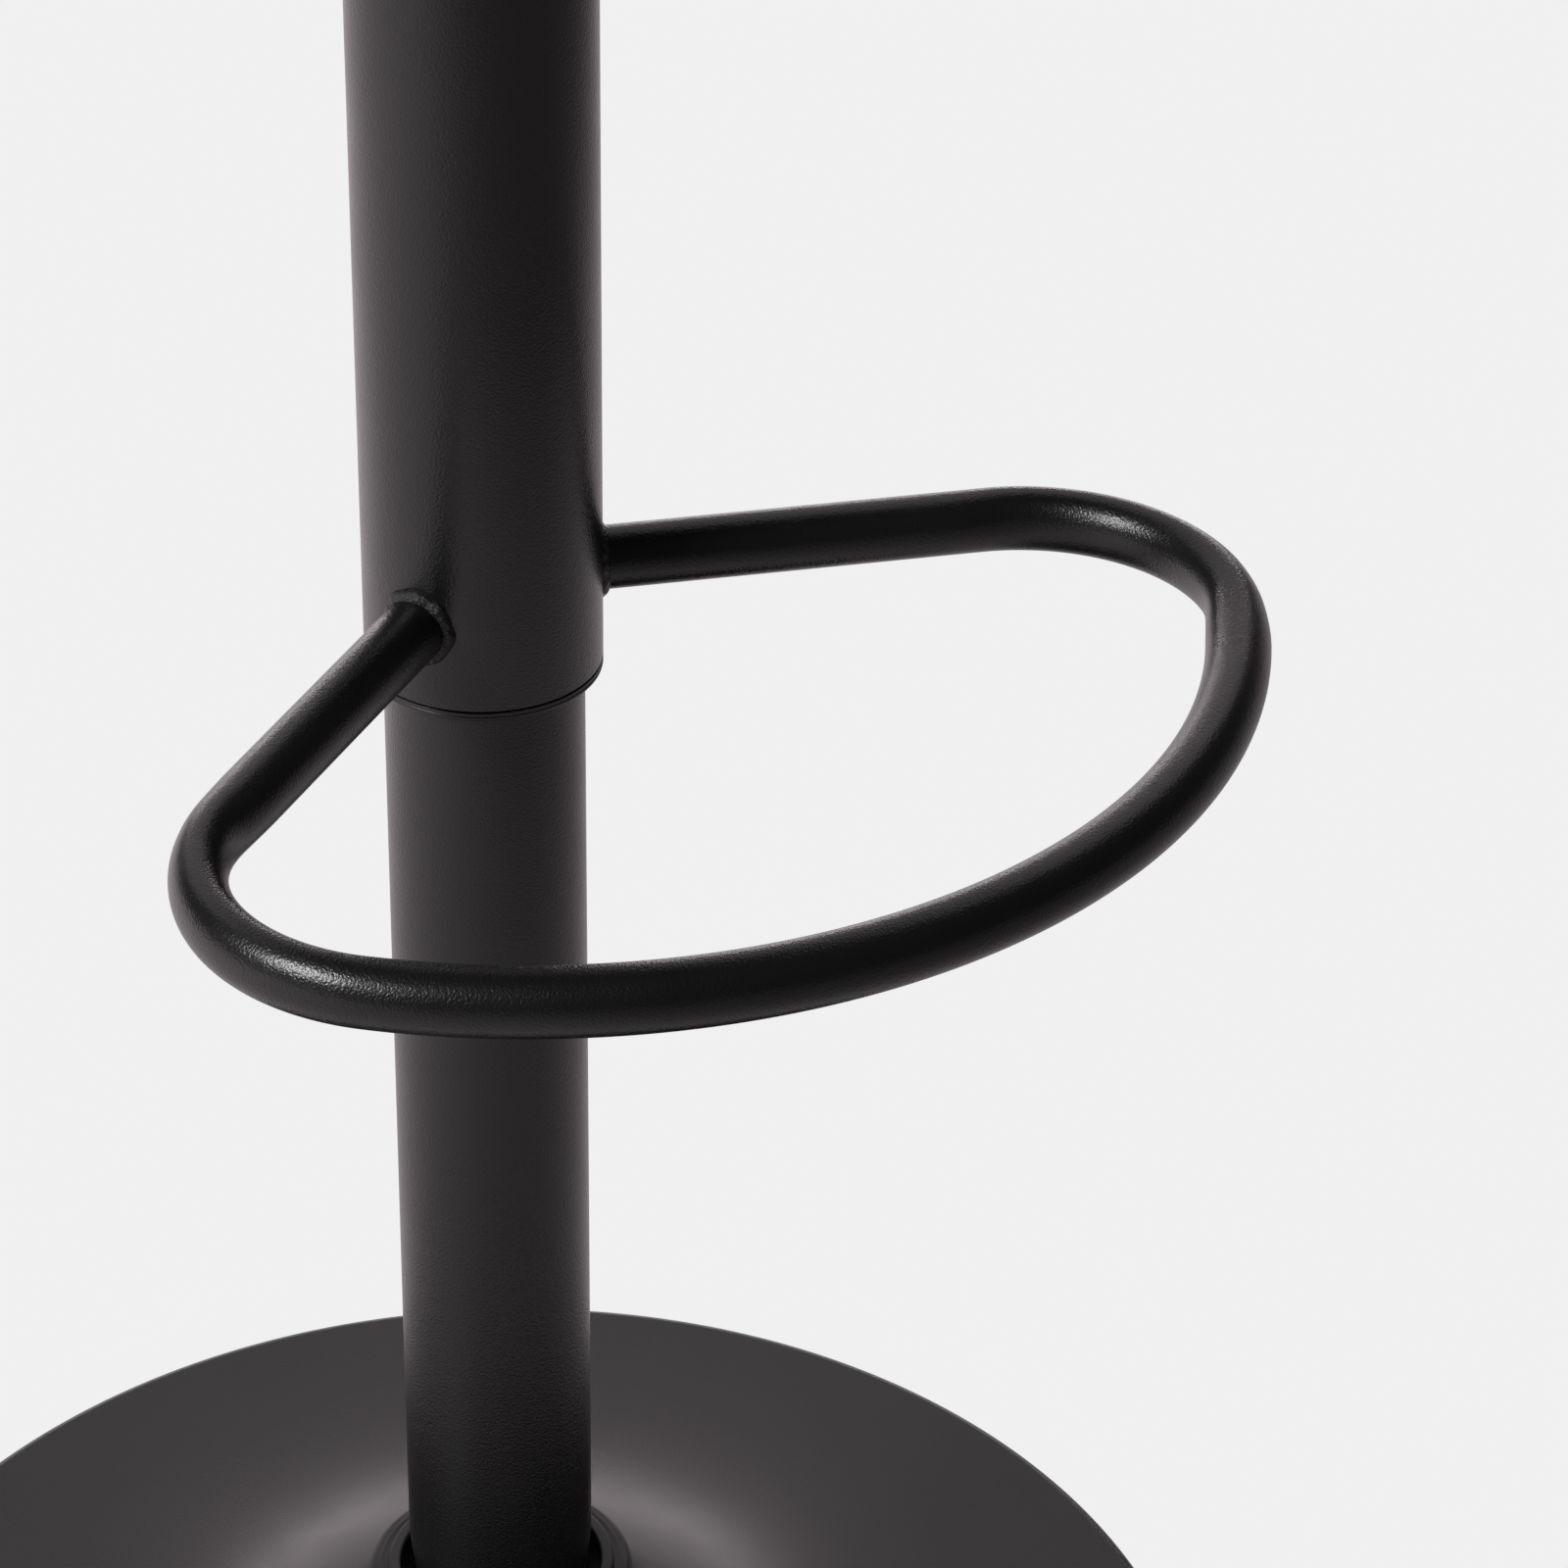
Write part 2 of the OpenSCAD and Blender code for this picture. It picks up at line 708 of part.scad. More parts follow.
floor_pad();
rim_gasket();
ballast_plate();
hub_socket();
hub_weld();
base_shell();
base_collar();
column_tube();
column_end_plate();
guide_bush();
bearing_lower_race();
bearing_cage();
bearing_balls();
bearing_upper_race();
piston_rod();
rod_clip();
bump_stop();
piston();
gas_cylinder();
cylinder_gland();
column_sleeve();
sleeve_guide_ring();
sleeve_top_ring();
footrest_bar();
footrest_welds();
seat_plate();
taper_socket();
lever_pin();
seat_bolts();
seat_washers();
seat_tee_nuts();
seat_board();
dust_cover();
seat_foam();
seat_cover();
seat_piping();
cover_staples();
lever_rod();
lever_grip();
valve_button();
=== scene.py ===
"""Looks of the height-adjustable bar stool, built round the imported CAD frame.

Metres, +Z up, the origin on the floor under the column, the footrest at the front (-Y).
"""

import json
import math

import bmesh
import bpy
from mathutils import Matrix, Vector, noise
from mathutils.bvhtree import BVHTree


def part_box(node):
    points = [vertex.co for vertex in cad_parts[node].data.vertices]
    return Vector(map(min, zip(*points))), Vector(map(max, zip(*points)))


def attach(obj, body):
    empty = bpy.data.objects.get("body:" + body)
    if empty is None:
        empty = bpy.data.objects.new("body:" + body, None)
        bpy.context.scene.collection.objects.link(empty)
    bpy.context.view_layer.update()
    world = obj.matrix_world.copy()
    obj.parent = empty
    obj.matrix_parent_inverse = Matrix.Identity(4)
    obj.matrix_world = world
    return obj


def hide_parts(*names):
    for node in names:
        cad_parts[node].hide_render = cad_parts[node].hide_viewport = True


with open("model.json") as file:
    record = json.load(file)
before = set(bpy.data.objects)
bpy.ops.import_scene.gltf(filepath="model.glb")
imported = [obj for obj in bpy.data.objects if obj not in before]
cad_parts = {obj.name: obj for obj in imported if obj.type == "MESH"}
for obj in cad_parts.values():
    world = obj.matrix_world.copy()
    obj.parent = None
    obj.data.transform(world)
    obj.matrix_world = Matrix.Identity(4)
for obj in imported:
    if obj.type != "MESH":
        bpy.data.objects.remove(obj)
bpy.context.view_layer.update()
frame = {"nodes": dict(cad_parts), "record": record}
MM = 0.001


def low(node):
    return Vector(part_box(node)[0])


def high(node):
    return Vector(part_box(node)[1])


# --- Mesh helpers ----------------------------------------------------------------------------


def add_mesh(name, verts, faces, sharp_deg=40):
    """A new smooth-shaded object from points and faces, creased where it turns by more than sharp_deg."""
    mesh = bpy.data.meshes.new(name)
    mesh.from_pydata([tuple(v) for v in verts], [], faces)
    bm = bmesh.new()
    bm.from_mesh(mesh)
    bmesh.ops.recalc_face_normals(bm, faces=bm.faces)
    bm.to_mesh(mesh)
    bm.free()
    mesh.polygons.foreach_set("use_smooth", [True] * len(mesh.polygons))
    mesh.set_sharp_from_angle(angle=math.radians(sharp_deg))
    obj = bpy.data.objects.new(name, mesh)
    bpy.context.scene.collection.objects.link(obj)
    return obj


def ring_faces(rings, count, loop=False):
    """Quads between successive closed rings of count points each; loop joins the last to the first."""
    faces = []
    for j in range(rings if loop else rings - 1):
        here, there = j * count, (j + 1) % rings * count
        for i in range(count):
            k = (i + 1) % count
            faces.append((here + i, here + k, there + k, there + i))
    return faces


def lathe(name, outline, segments=192, sharp_deg=40):
    """A solid of revolution about Z from a closed outline of (r, z) points in millimetres."""
    rings = []
    for r, z in outline:
        for i in range(segments):
            a = 2 * math.pi * i / segments
            rings.append((r * MM * math.cos(a), r * MM * math.sin(a), z * MM))
    return add_mesh(name, rings, ring_faces(len(outline), segments, loop=True), sharp_deg)


def capped(rings, count):
    """Faces of a tube with both ends closed."""
    last = (rings - 1) * count
    return ring_faces(rings, count) + [tuple(range(count)), tuple(range(last, last + count))]


def sweep(name, path, radius, sides=16, sharp_deg=40):
    """A round bar along a list of points, with flat ends. radius is a number or a function of 0..1."""
    verts = []
    up = Vector((0, 0, 1))
    for j, p in enumerate(path):
        t = (path[min(j + 1, len(path) - 1)] - path[max(j - 1, 0)]).normalized()
        side = t.cross(up)
        side = side.normalized() if side.length > 1e-4 else Vector((1, 0, 0))
        over = side.cross(t)
        r = radius(j / (len(path) - 1)) if callable(radius) else radius
        for i in range(sides):
            a = 2 * math.pi * i / sides
            verts.append(p + r * (math.cos(a) * side + math.sin(a) * over))
    return add_mesh(name, verts, capped(len(path), sides), sharp_deg)


def merge(name, objects):
    """Joins several new objects into one."""
    bm = bmesh.new()
    for obj in objects:
        bm.from_mesh(obj.data)
        bpy.data.objects.remove(obj)
    mesh = bpy.data.meshes.new(name)
    bm.to_mesh(mesh)
    bm.free()
    obj = bpy.data.objects.new(name, mesh)
    bpy.context.scene.collection.objects.link(obj)
    return obj


def arc(cx, cy, r, start, end, steps=8):
    """Points of a circular arc; angles in degrees."""
    out = []
    for i in range(steps + 1):
        a = math.radians(start + (end - start) * i / steps)
        out.append((cx + r * math.cos(a), cy + r * math.sin(a)))
    return out


def smoothstep(t):
    t = min(max(t, 0.0), 1.0)
    return t * t * (3 - 2 * t)


def wobble(p, scale, depth=1.0):
    """Smooth noise from -depth to depth with features about scale metres across."""
    return depth * noise.noise(Vector(p) / scale)


# --- Materials -------------------------------------------------------------------------------


class Shader:
    """Builds a Principled material whose pattern follows the object's own coordinates."""

    def __init__(self, name, **sockets):
        self.material = bpy.data.materials.new(name)
        self.material.use_nodes = True
        self.tree = self.material.node_tree
        self.principled = self.tree.nodes["Principled BSDF"]
        self.coords = self.add("ShaderNodeTexCoord").outputs["Object"]
        self.set(self.principled, **sockets)

    def add(self, kind, **properties):
        node = self.tree.nodes.new(kind)
        for key, value in properties.items():
            setattr(node, key, value)
        return node

    def set(self, node, **sockets):
        for key, value in sockets.items():
            if isinstance(value, tuple) and len(value) == 3:
                value = (*value, 1)
            node.inputs[key.replace("_", " ")].default_value = value

    def link(self, output, node, socket):
        self.tree.links.new(output, node.inputs[socket])

    def noise(self, scale, detail=2.0, rough=0.5, vector=None, output="Fac"):
        node = self.add("ShaderNodeTexNoise")
        self.set(node, Scale=scale, Detail=detail, Roughness=rough)
        self.link(vector or self.coords, node, "Vector")
        return node.outputs[output]

    def cells(self, scale, feature="F1", output="Distance", vector=None):
        node = self.add("ShaderNodeTexVoronoi", feature=feature)
        self.set(node, Scale=scale)
        self.link(vector or self.coords, node, "Vector")
        return node.outputs[output]

    def stretched(self, x, y, z):
        """Coordinates scaled by x, y and z, for a pattern with a direction."""
        node = self.add("ShaderNodeMapping")
        node.inputs["Scale"].default_value = (x, y, z)
        self.link(self.coords, node, "Vector")
        return node.outputs["Vector"]

    def ramp(self, factor, start, end, low_value, high_value):
        """Maps factor from start..end to low_value..high_value."""
        node = self.add("ShaderNodeMapRange")
        self.set(node, From_Min=start, From_Max=end, To_Min=low_value, To_Max=high_value)
        self.link(factor, node, "Value")
        return node.outputs["Result"]

    def colours(self, factor, start, end, low_colour, high_colour):
        """Maps factor from start..end to a blend of two colours."""
        node = self.add("ShaderNodeValToRGB")
        first, second = node.color_ramp.elements
        first.position, second.position = start, end
        first.color, second.color = (*low_colour, 1), (*high_colour, 1)
        self.link(factor, node, "Fac")
        return node.outputs["Color"]

    def over(self, factor, below, above):
        """Colour below, with colour above laid on it where factor is 1."""
        node = self.add("ShaderNodeMix", data_type="RGBA")
        self.link(factor, node, 0)
        for value, socket in ((below, 6), (above, 7)):
            if isinstance(value, tuple):
                node.inputs[socket].default_value = (*value, 1)
            else:
                self.tree.links.new(value, node.inputs[socket])
        return node.outputs[2]

    def math(self, kind, a, b):
        node = self.add("ShaderNodeMath", operation=kind)
        for value, socket in ((a, 0), (b, 1)):
            if isinstance(value, (int, float)):
                node.inputs[socket].default_value = value
            else:
                self.tree.links.new(value, node.inputs[socket])
        return node.outputs[0]

    def bump(self, height, strength, distance, under=None):
        node = self.add("ShaderNodeBump")
        self.set(node, Strength=strength, Distance=distance)
        self.link(height, node, "Height")
        if under is not None:
            self.link(under, node, "Normal")
        return node.outputs["Normal"]

    def done(self, colour=None, roughness=None, normal=None):
        for output, socket in ((colour, "Base Color"), (roughness, "Roughness"), (normal, "Normal")):
            if output is not None:
                self.link(output, self.principled, socket)
        return self.material


def scaled(colour, k):
    return tuple(min(1.0, c * k) for c in colour)


def powder_coat(name, colour, rough, peel):
    """Satin black powder coat: fine orange peel, a faint unevenness in gloss and a few specks of dust."""
    s = Shader(name)
    tone = s.colours(s.noise(14, 3), 0.35, 0.65, scaled(colour, 0.9), scaled(colour, 1.1))
    dust = s.ramp(s.cells(95), 0.0, 0.045, 1.0, 0.0)
    rare = s.ramp(s.noise(23, 1), 0.60, 0.66, 0.0, 0.5)
    tone = s.over(s.math("MULTIPLY", dust, rare), tone, (0.09, 0.085, 0.08))
    gloss = s.ramp(s.noise(45, 4), 0.3, 0.7, rough - 0.025, rough + 0.025)
    normal = s.bump(s.noise(1650, 1), peel, 0.0002)
    normal = s.bump(s.noise(600, 1), peel * 0.15, 0.0003, under=normal)
    return s.done(tone, gloss, normal)


def plain(name, colour, rough, metallic=0.0, grain=0.0, scale=900, spread=0.1, **sockets):
    """A simple finish with slight variation in colour, gloss and surface."""
    s = Shader(name, Metallic=metallic, **sockets)
    tone = s.colours(s.noise(40, 4), 0.3, 0.7, scaled(colour, 1 - spread), scaled(colour, 1 + spread))
    gloss = s.ramp(s.noise(110, 4), 0.3, 0.7, rough * 0.88, rough * 1.12)
    normal = s.bump(s.noise(scale, 3), grain, 0.0002) if grain else None
    return s.done(tone, gloss, normal)


def turned_metal(name, colour, rough, lines=900):
    """Lathe-turned or drawn metal: fine lines across the axis and a little staining."""
    s = Shader(name, Metallic=1.0)
    tone = s.colours(s.noise(60, 5), 0.3, 0.75, scaled(colour, 0.82), scaled(colour, 1.06))
    fine = s.noise(lines, 3, vector=s.stretched(0.04, 0.04, 1))
    gloss = s.ramp(fine, 0.3, 0.7, rough * 0.8, rough * 1.25)
    return s.done(tone, gloss, s.bump(fine, 0.12, 0.0001))


def zinc_plate():
    """Bright zinc with its crystalline mottling."""
    s = Shader("zinc", Metallic=1.0)
    flakes = s.cells(420, output="Color")
    tone = s.colours(flakes, 0.1, 0.9, (0.50, 0.51, 0.53), (0.68, 0.69, 0.70))
    gloss = s.ramp(s.noise(300, 4), 0.3, 0.7, 0.26, 0.40)
    return s.done(tone, gloss, s.bump(s.noise(1500, 2), 0.06, 0.0001))


def cast_iron():
    s = Shader("ballast_iron", Metallic=0.7)
    tone = s.colours(s.noise(120, 6, 0.65), 0.3, 0.75, (0.055, 0.05, 0.048), (0.13, 0.125, 0.12))
    gloss = s.ramp(s.noise(300, 4), 0.3, 0.7, 0.55, 0.8)
    return s.done(tone, gloss, s.bump(s.noise(900, 5, 0.7), 0.5, 0.0006))


def weld_coat():
    """Powder coat over a rough bead of weld, with uneven gloss."""
    s = Shader("weld_coat")
    tone = s.colours(s.noise(500, 4), 0.3, 0.7, (0.005, 0.005, 0.005), (0.008, 0.0078, 0.0077))
    gloss = s.ramp(s.noise(900, 3), 0.3, 0.7, 0.28, 0.42)
    return s.done(tone, gloss, s.bump(s.noise(1500, 4, 0.65), 0.7, 0.0006))


def clear_edging():
    """Milky, slightly pink translucent edging."""
    s = Shader("clear_edge", Transmission_Weight=0.25, IOR=1.46)
    s.set(s.principled, Subsurface_Weight=0.3, Subsurface_Scale=0.003)
    tone = s.colours(s.noise(60, 3), 0.3, 0.7, (0.80, 0.72, 0.68), (0.88, 0.81, 0.77))
    gloss = s.ramp(s.noise(200, 3), 0.3, 0.7, 0.28, 0.4)
    return s.done(tone, gloss, s.bump(s.noise(500, 2), 0.1, 0.0002))


def rubber(name, colour, grain):
    s = Shader(name, Specular_IOR_Level=0.35)
    tone = s.colours(s.noise(35, 5), 0.3, 0.7, scaled(colour, 0.8), scaled(colour, 1.2))
    gloss = s.ramp(s.noise(160, 4), 0.3, 0.7, 0.68, 0.84)
    return s.done(tone, gloss, s.bump(s.noise(2600, 3), grain, 0.0002))


def brass():
    s = Shader("cage_brass", Metallic=1.0)
    tone = s.colours(s.noise(150, 5), 0.3, 0.7, (0.48, 0.32, 0.11), (0.66, 0.48, 0.2))
    gloss = s.ramp(s.noise(400, 3), 0.3, 0.7, 0.25, 0.4)
    return s.done(tone, gloss, s.bump(s.noise(1800, 2), 0.08, 0.0001))


def plywood():
    """Birch plywood: long grain on the faces and thin dark glue lines through the edge."""
    s = Shader("board_ply", Specular_IOR_Level=0.3)
    grain = s.noise(90, 6, 0.6, vector=s.stretched(0.12, 1, 1))
    tone = s.colours(grain, 0.3, 0.7, (0.50, 0.34, 0.18), (0.68, 0.50, 0.31))
    plies = s.add("ShaderNodeTexWave", wave_type="BANDS", bands_direction="Z")
    s.set(plies, Scale=105.0, Distortion=0.6)
    s.link(s.coords, plies, "Vector")
    tone = s.over(s.ramp(plies.outputs["Fac"], 0.86, 0.98, 0.0, 0.6), tone, (0.16, 0.09, 0.045))
    return s.done(tone, s.ramp(grain, 0.3, 0.7, 0.55, 0.7), s.bump(grain, 0.15, 0.0003))


def foam():
    s = Shader("foam", Specular_IOR_Level=0.1, Subsurface_Weight=0.1, Subsurface_Scale=0.004)
    tone = s.colours(s.noise(50, 4), 0.3, 0.7, (0.70, 0.60, 0.38), (0.84, 0.76, 0.53))
    return s.done(tone, s.ramp(s.noise(80, 2), 0, 1, 0.85, 0.95), s.bump(s.cells(900), 0.7, 0.0006))


def faux_leather():
    """Black upholstery vinyl: pebbled grain of uneven cells, soft creases, a dull sheen, and painted shade
    in the furrows between the pebbles.
    """
    s = Shader("faux_leather", Sheen_Weight=0.12, Sheen_Roughness=0.45)
    s.set(s.principled, Coat_Weight=0.06, Coat_Roughness=0.35)
    bend = s.add("ShaderNodeVectorMath", operation="MULTIPLY_ADD")
    s.link(s.noise(260, 2, output="Color"), bend, 0)
    bend.inputs[1].default_value = (0.0011, 0.0011, 0.0011)
    s.link(s.coords, bend, 2)
    warped = bend.outputs[0]
    pebbles = s.cells(760, "SMOOTH_F1", vector=warped)
    furrows = s.ramp(s.cells(760, "DISTANCE_TO_EDGE", vector=warped), 0.0, 0.16, 0.0, 1.0)
    patches = s.noise(18, 4)
    tone = s.colours(patches, 0.3, 0.7, (0.0105, 0.0100, 0.0098), (0.0155, 0.0150, 0.0146))
    # painted shade: the colour darkens towards near black in the furrows of the grain, where shade would
    # fall
    tone = s.over(s.ramp(furrows, 0.0, 0.6, 0.55, 0.0), tone, (0.004, 0.004, 0.004))
    gloss = s.math("ADD", s.ramp(furrows, 0, 1, 0.1, 0.0), s.ramp(patches, 0.3, 0.7, 0.38, 0.45))
    normal = s.bump(furrows, 0.35, 0.00018)
    normal = s.bump(pebbles, -0.25, 0.0003, under=normal)
    normal = s.bump(s.noise(120, 3, 0.6), 0.2, 0.0009, under=normal)
    return s.done(tone, gloss, normal)


def woven(name, colour, scale, depth):
    """Plain-woven or bonded cloth: two crossed sets of threads with uneven thickness."""
    s = Shader(name, Specular_IOR_Level=0.2, Sheen_Weight=0.2, Sheen_Roughness=0.6)
    threads = []
    for direction in ("X", "Y"):
        wave = s.add("ShaderNodeTexWave", wave_type="BANDS", bands_direction=direction)
        s.set(wave, Scale=scale, Distortion=1.6, Detail=2.0, Detail_Scale=3.0)
        s.link(s.coords, wave, "Vector")
        threads.append(wave.outputs["Fac"])
    weave = s.math("MULTIPLY", threads[0], threads[1])
    tone = s.colours(weave, 0.0, 0.8, scaled(colour, 0.55), scaled(colour, 1.35))
    fibres = s.noise(1800, 3, 0.7)
    normal = s.bump(weave, 0.6, depth)
    return s.done(tone, s.ramp(fibres, 0.3, 0.7, 0.75, 0.95), s.bump(fibres, 0.3, 0.0002, under=normal))


def sewing_thread(name, colour):
    """Twisted sewing thread."""
    s = Shader(name, Specular_IOR_Level=0.3, Sheen_Weight=0.3, Sheen_Roughness=0.5)
    twist = s.noise(3000, 2)
    tone = s.colours(twist, 0.3, 0.7, scaled(colour, 0.7), scaled(colour, 1.3))
    return s.done(tone, s.ramp(twist, 0.3, 0.7, 0.55, 0.75), s.bump(twist, 0.4, 0.0001))


FINISHES = {
    "powder_coat": powder_coat("powder_coat", (0.0070, 0.0066, 0.0066), 0.29, 0.62),
    "base_coat": powder_coat("base_coat", (0.0080, 0.0074, 0.0074), 0.36, 0.2),
    "bare_steel": turned_metal("bare_steel", (0.42, 0.42, 0.43), 0.38),
    "ballast_iron": cast_iron(),
    "weld_steel": plain("weld_steel", (0.30, 0.29, 0.28), 0.45, 1.0, grain=0.5, spread=0.3),
    "black_plastic": plain("black_plastic", (0.010, 0.010, 0.010), 0.46, grain=0.08),
    "acetal": plain("acetal", (0.80, 0.79, 0.75), 0.42, grain=0.05, Subsurface_Weight=0.1),
    "clear_edge": clear_edging(),
    "pad_rubber": rubber("pad_rubber", (0.022, 0.022, 0.022), 0.35),
    "bump_rubber": rubber("bump_rubber", (0.018, 0.018, 0.018), 0.2),
    "hard_chrome": turned_metal("hard_chrome", (0.72, 0.72, 0.74), 0.09, 1600),
    "ball_steel": plain("ball_steel", (0.70, 0.70, 0.71), 0.08, 1.0, spread=0.04),
    "cage_brass": brass(),
    "piston_alloy": turned_metal("piston_alloy", (0.66, 0.66, 0.68), 0.32),
    "cylinder_paint": plain("cylinder_paint", (0.012, 0.012, 0.013), 0.18, grain=0.03),
    "zinc": zinc_plate(),
    "board_ply": plywood(),
    "foam": foam(),
    "faux_leather": faux_leather(),
    "dust_cloth": woven("dust_cloth", (0.012, 0.012, 0.0125), 420, 0.0003),
    "grip_plastic": plain("grip_plastic", (0.010, 0.010, 0.0105), 0.52, grain=0.25, scale=2200),
}
WELD_COAT = weld_coat()
THREAD = sewing_thread("seat_thread", (0.016, 0.016, 0.016))


def finish_piece(obj, slot, body, stands_for=(), material=None):
    """Gives a piece its finish and its CAD body, and hides the CAD nodes it stands for."""
    obj.data.materials.clear()
    obj.data.materials.append(material or FINISHES[slot])
    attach(obj, body)
    if stands_for:
        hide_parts(*stands_for)
    return obj


def dress_cad_nodes():
    """Every CAD node gets the finish of its slot in the record."""
    slots = {part["node"]: part["material_slot"] for part in frame["record"]["subparts"]}
    for name, obj in frame["nodes"].items():
        obj.data.materials.clear()
        obj.data.materials.append(FINISHES[slots[name]])


# --- Base (millimetres) ----------------------------------------------------------------------

PAD_T = high("floor_pad").z / MM
BASE_R = high("base_shell").x / MM
NECK_Z = high("base_shell").z / MM
NECK_R = 34.0
RIM_Z = 9.5                     # level that the flare dies out at
FLARE_RUN = 38.0
SHELL_T = 1.5
SHELL_EDGE = 4.0
HUB_TOP = high("hub_socket").z / MM


def flare_z(r):
    """Height of the trumpet's outer surface at radius r."""
    return RIM_Z + (NECK_Z - RIM_Z) * math.exp(-(r - NECK_R) / FLARE_RUN)


def make_base_dish():
    steps = 110
    edge_r = BASE_R - SHELL_EDGE
    radii = [NECK_R + (edge_r - NECK_R) * (i / steps) ** 1.7 for i in range(steps + 1)]
    centre_z = flare_z(edge_r) - SHELL_EDGE
    outer = [(r, flare_z(r)) for r in radii]
    inner = []
    for r in radii:
        slope = (flare_z(r) - RIM_Z) / FLARE_RUN
        n = math.hypot(1, slope)
        inner.append((r - SHELL_T * slope / n, flare_z(r) - SHELL_T / n))
    outer += arc(edge_r, centre_z, SHELL_EDGE, 84, 0, 12) + [(BASE_R, PAD_T)]
    inner += arc(edge_r, centre_z, SHELL_EDGE - SHELL_T, 84, 0, 12) + [(BASE_R - SHELL_T, PAD_T)]
    dish = lathe("base_dish", outer + inner[::-1], 320, 30)
    finish_piece(dish, "base_coat", "base", ["base_shell"])


def make_collar():
    """The moulded ring that hides the joint between the base and the column."""
    z = NECK_Z
    outline = [(28, HUB_TOP + 1)]
    outline += arc(29, z + 4.2, 1, 180, 90, 8)
    outline += arc(30.7, z + 4.4, 0.8, 90, 0, 8)
    outline += arc(32.0, z + 3.7, 0.5, 180, 270, 5)
    outline += arc(33.6, z + 2.0, 1.3, 112, 60, 5)
    outline += arc(34.4, z + 0.9, 2.5, 72, 0, 10)
    outline += [(37, flare_z(37) + 0.3), (35.5, flare_z(35.5) + 0.3), (NECK_R, z + 0.3)]
    outline += [(32.4, z + 0.3), (32.4, HUB_TOP + 1)]
    finish_piece(lathe("base_collar_ring", outline, 192, 50), "black_plastic", "base", ["base_collar"])


def make_edging():
    gasket = high("rim_gasket").x / MM
    inner = BASE_R - 10.8
    outline = [(inner, 0.3), (inner + 0.3, 0)] + arc(gasket - 1.2, 1.2, 1.2, -90, 0, 8)
    outline += arc(gasket - 0.7, 1.9, 0.7, 0, 60, 5)
    outline += [(BASE_R + 0.9, PAD_T - 0.4), (BASE_R + 0.3, PAD_T), (inner, PAD_T)]
    finish_piece(lathe("rim_edging", outline, 256, 50), "clear_edge", "base", ["rim_gasket"])


def make_floor_mat():
    """The rubber mat under the base, with concentric ribs to grip the floor."""
    outer_r = high("floor_pad").x / MM
    pitch, crest, land = 7.0, 4.2, 0.6
    outline = [(0.01, PAD_T), (0.01, land)]
    r = 10.0
    while r + pitch < outer_r - 2:
        outline += [(r, land), (r + 0.5, 0.1), (r + 0.9, 0.0), (r + crest - 0.9, 0.0)]
        outline += [(r + crest - 0.5, 0.1), (r + crest, land)]
        r += pitch
    outline += [(outer_r - 3.5, land), (outer_r - 2.8, 0.0), (outer_r - 0.4, 0.0)]
    outline += [(outer_r, 0.4), (outer_r, PAD_T)]
    finish_piece(lathe("floor_mat", outline, 160, 30), "pad_rubber", "base", ["floor_pad"])


# --- Column (millimetres) --------------------------------------------------------------------

COLUMN_R = high("column_tube").x / MM
COLUMN_TOP = high("column_tube").z / MM
COLUMN_FOOT = low("column_tube").z / MM
TUBE_WALL = 1.5
SWAGE_R = 23.4
SWAGE_TOP = NECK_Z + 20
SWAGE_END = NECK_Z - 3
TAPER_SLOPE = 0.025
SLEEVE_R = high("column_sleeve").x / MM
SLEEVE_END = low("column_sleeve").z / MM
SLEEVE_TOP = high("column_sleeve").z / MM
LIP_Z = low("sleeve_guide_ring").z / MM


def column_edge(inset):
    """Outline of the lower tube, inset, from its tapered foot up to the straight part."""
    edge = [(SWAGE_R - TAPER_SLOPE * (SWAGE_END - COLUMN_FOOT) - inset, COLUMN_FOOT)]
    for i in range(25):
        s = i / 24
        r = SWAGE_R - inset + (COLUMN_R - SWAGE_R) * smoothstep(s)
        edge.append((r, SWAGE_END + (SWAGE_TOP - SWAGE_END) * s))
    return edge + [(COLUMN_R - inset, COLUMN_TOP)]


def make_column():
    tube = lathe("column_lower_tube", column_edge(0) + column_edge(TUBE_WALL)[::-1], 192)
    finish_piece(tube, "powder_coat", "base", ["column_tube"])
    r, inner = SLEEVE_R, SLEEVE_R - TUBE_WALL
    outline = [(inner, SLEEVE_END)] + arc(r - 0.25, SLEEVE_END + 0.25, 0.25, -90, 0, 4)
    outline += arc(r - 0.4, SLEEVE_TOP - 0.4, 0.4, 0, 90, 4) + [(inner, SLEEVE_TOP)]
    finish_piece(lathe("column_sleeve_tube", outline, 192), "powder_coat", "carriage", ["column_sleeve"])


def make_guide_ring():
    """The sleeve's plastic guide ring: a lip with a fine line round it, and a dark groove above."""
    r = SLEEVE_R
    inner = COLUMN_R + 0.1
    score_z = (LIP_Z + SLEEVE_END) / 2
    groove, groove_depth = 0.45, 0.8
    lip_top = SLEEVE_END - groove
    bush_top = SLEEVE_END + 30
    outline = [(inner, LIP_Z + 0.6), (inner + 0.6, LIP_Z)] + arc(r - 0.9, LIP_Z + 0.9, 0.9, -90, 0, 8)
    outline += [(r, score_z - 0.16), (r - 0.03, score_z - 0.10), (r - 0.12, score_z)]
    outline += [(r - 0.03, score_z + 0.10), (r, score_z + 0.16)]
    outline += arc(r - 0.15, lip_top - 0.15, 0.15, 0, 90, 4)
    outline += [(r - groove_depth, lip_top), (r - groove_depth, SLEEVE_END), (r - TUBE_WALL, SLEEVE_END)]
    outline += [(r - TUBE_WALL, bush_top), (inner, bush_top)]
    finish_piece(lathe("sleeve_guide", outline, 192, 50), "black_plastic", "carriage", ["sleeve_guide_ring"])


# --- Footrest (metres) -----------------------------------------------------------------------

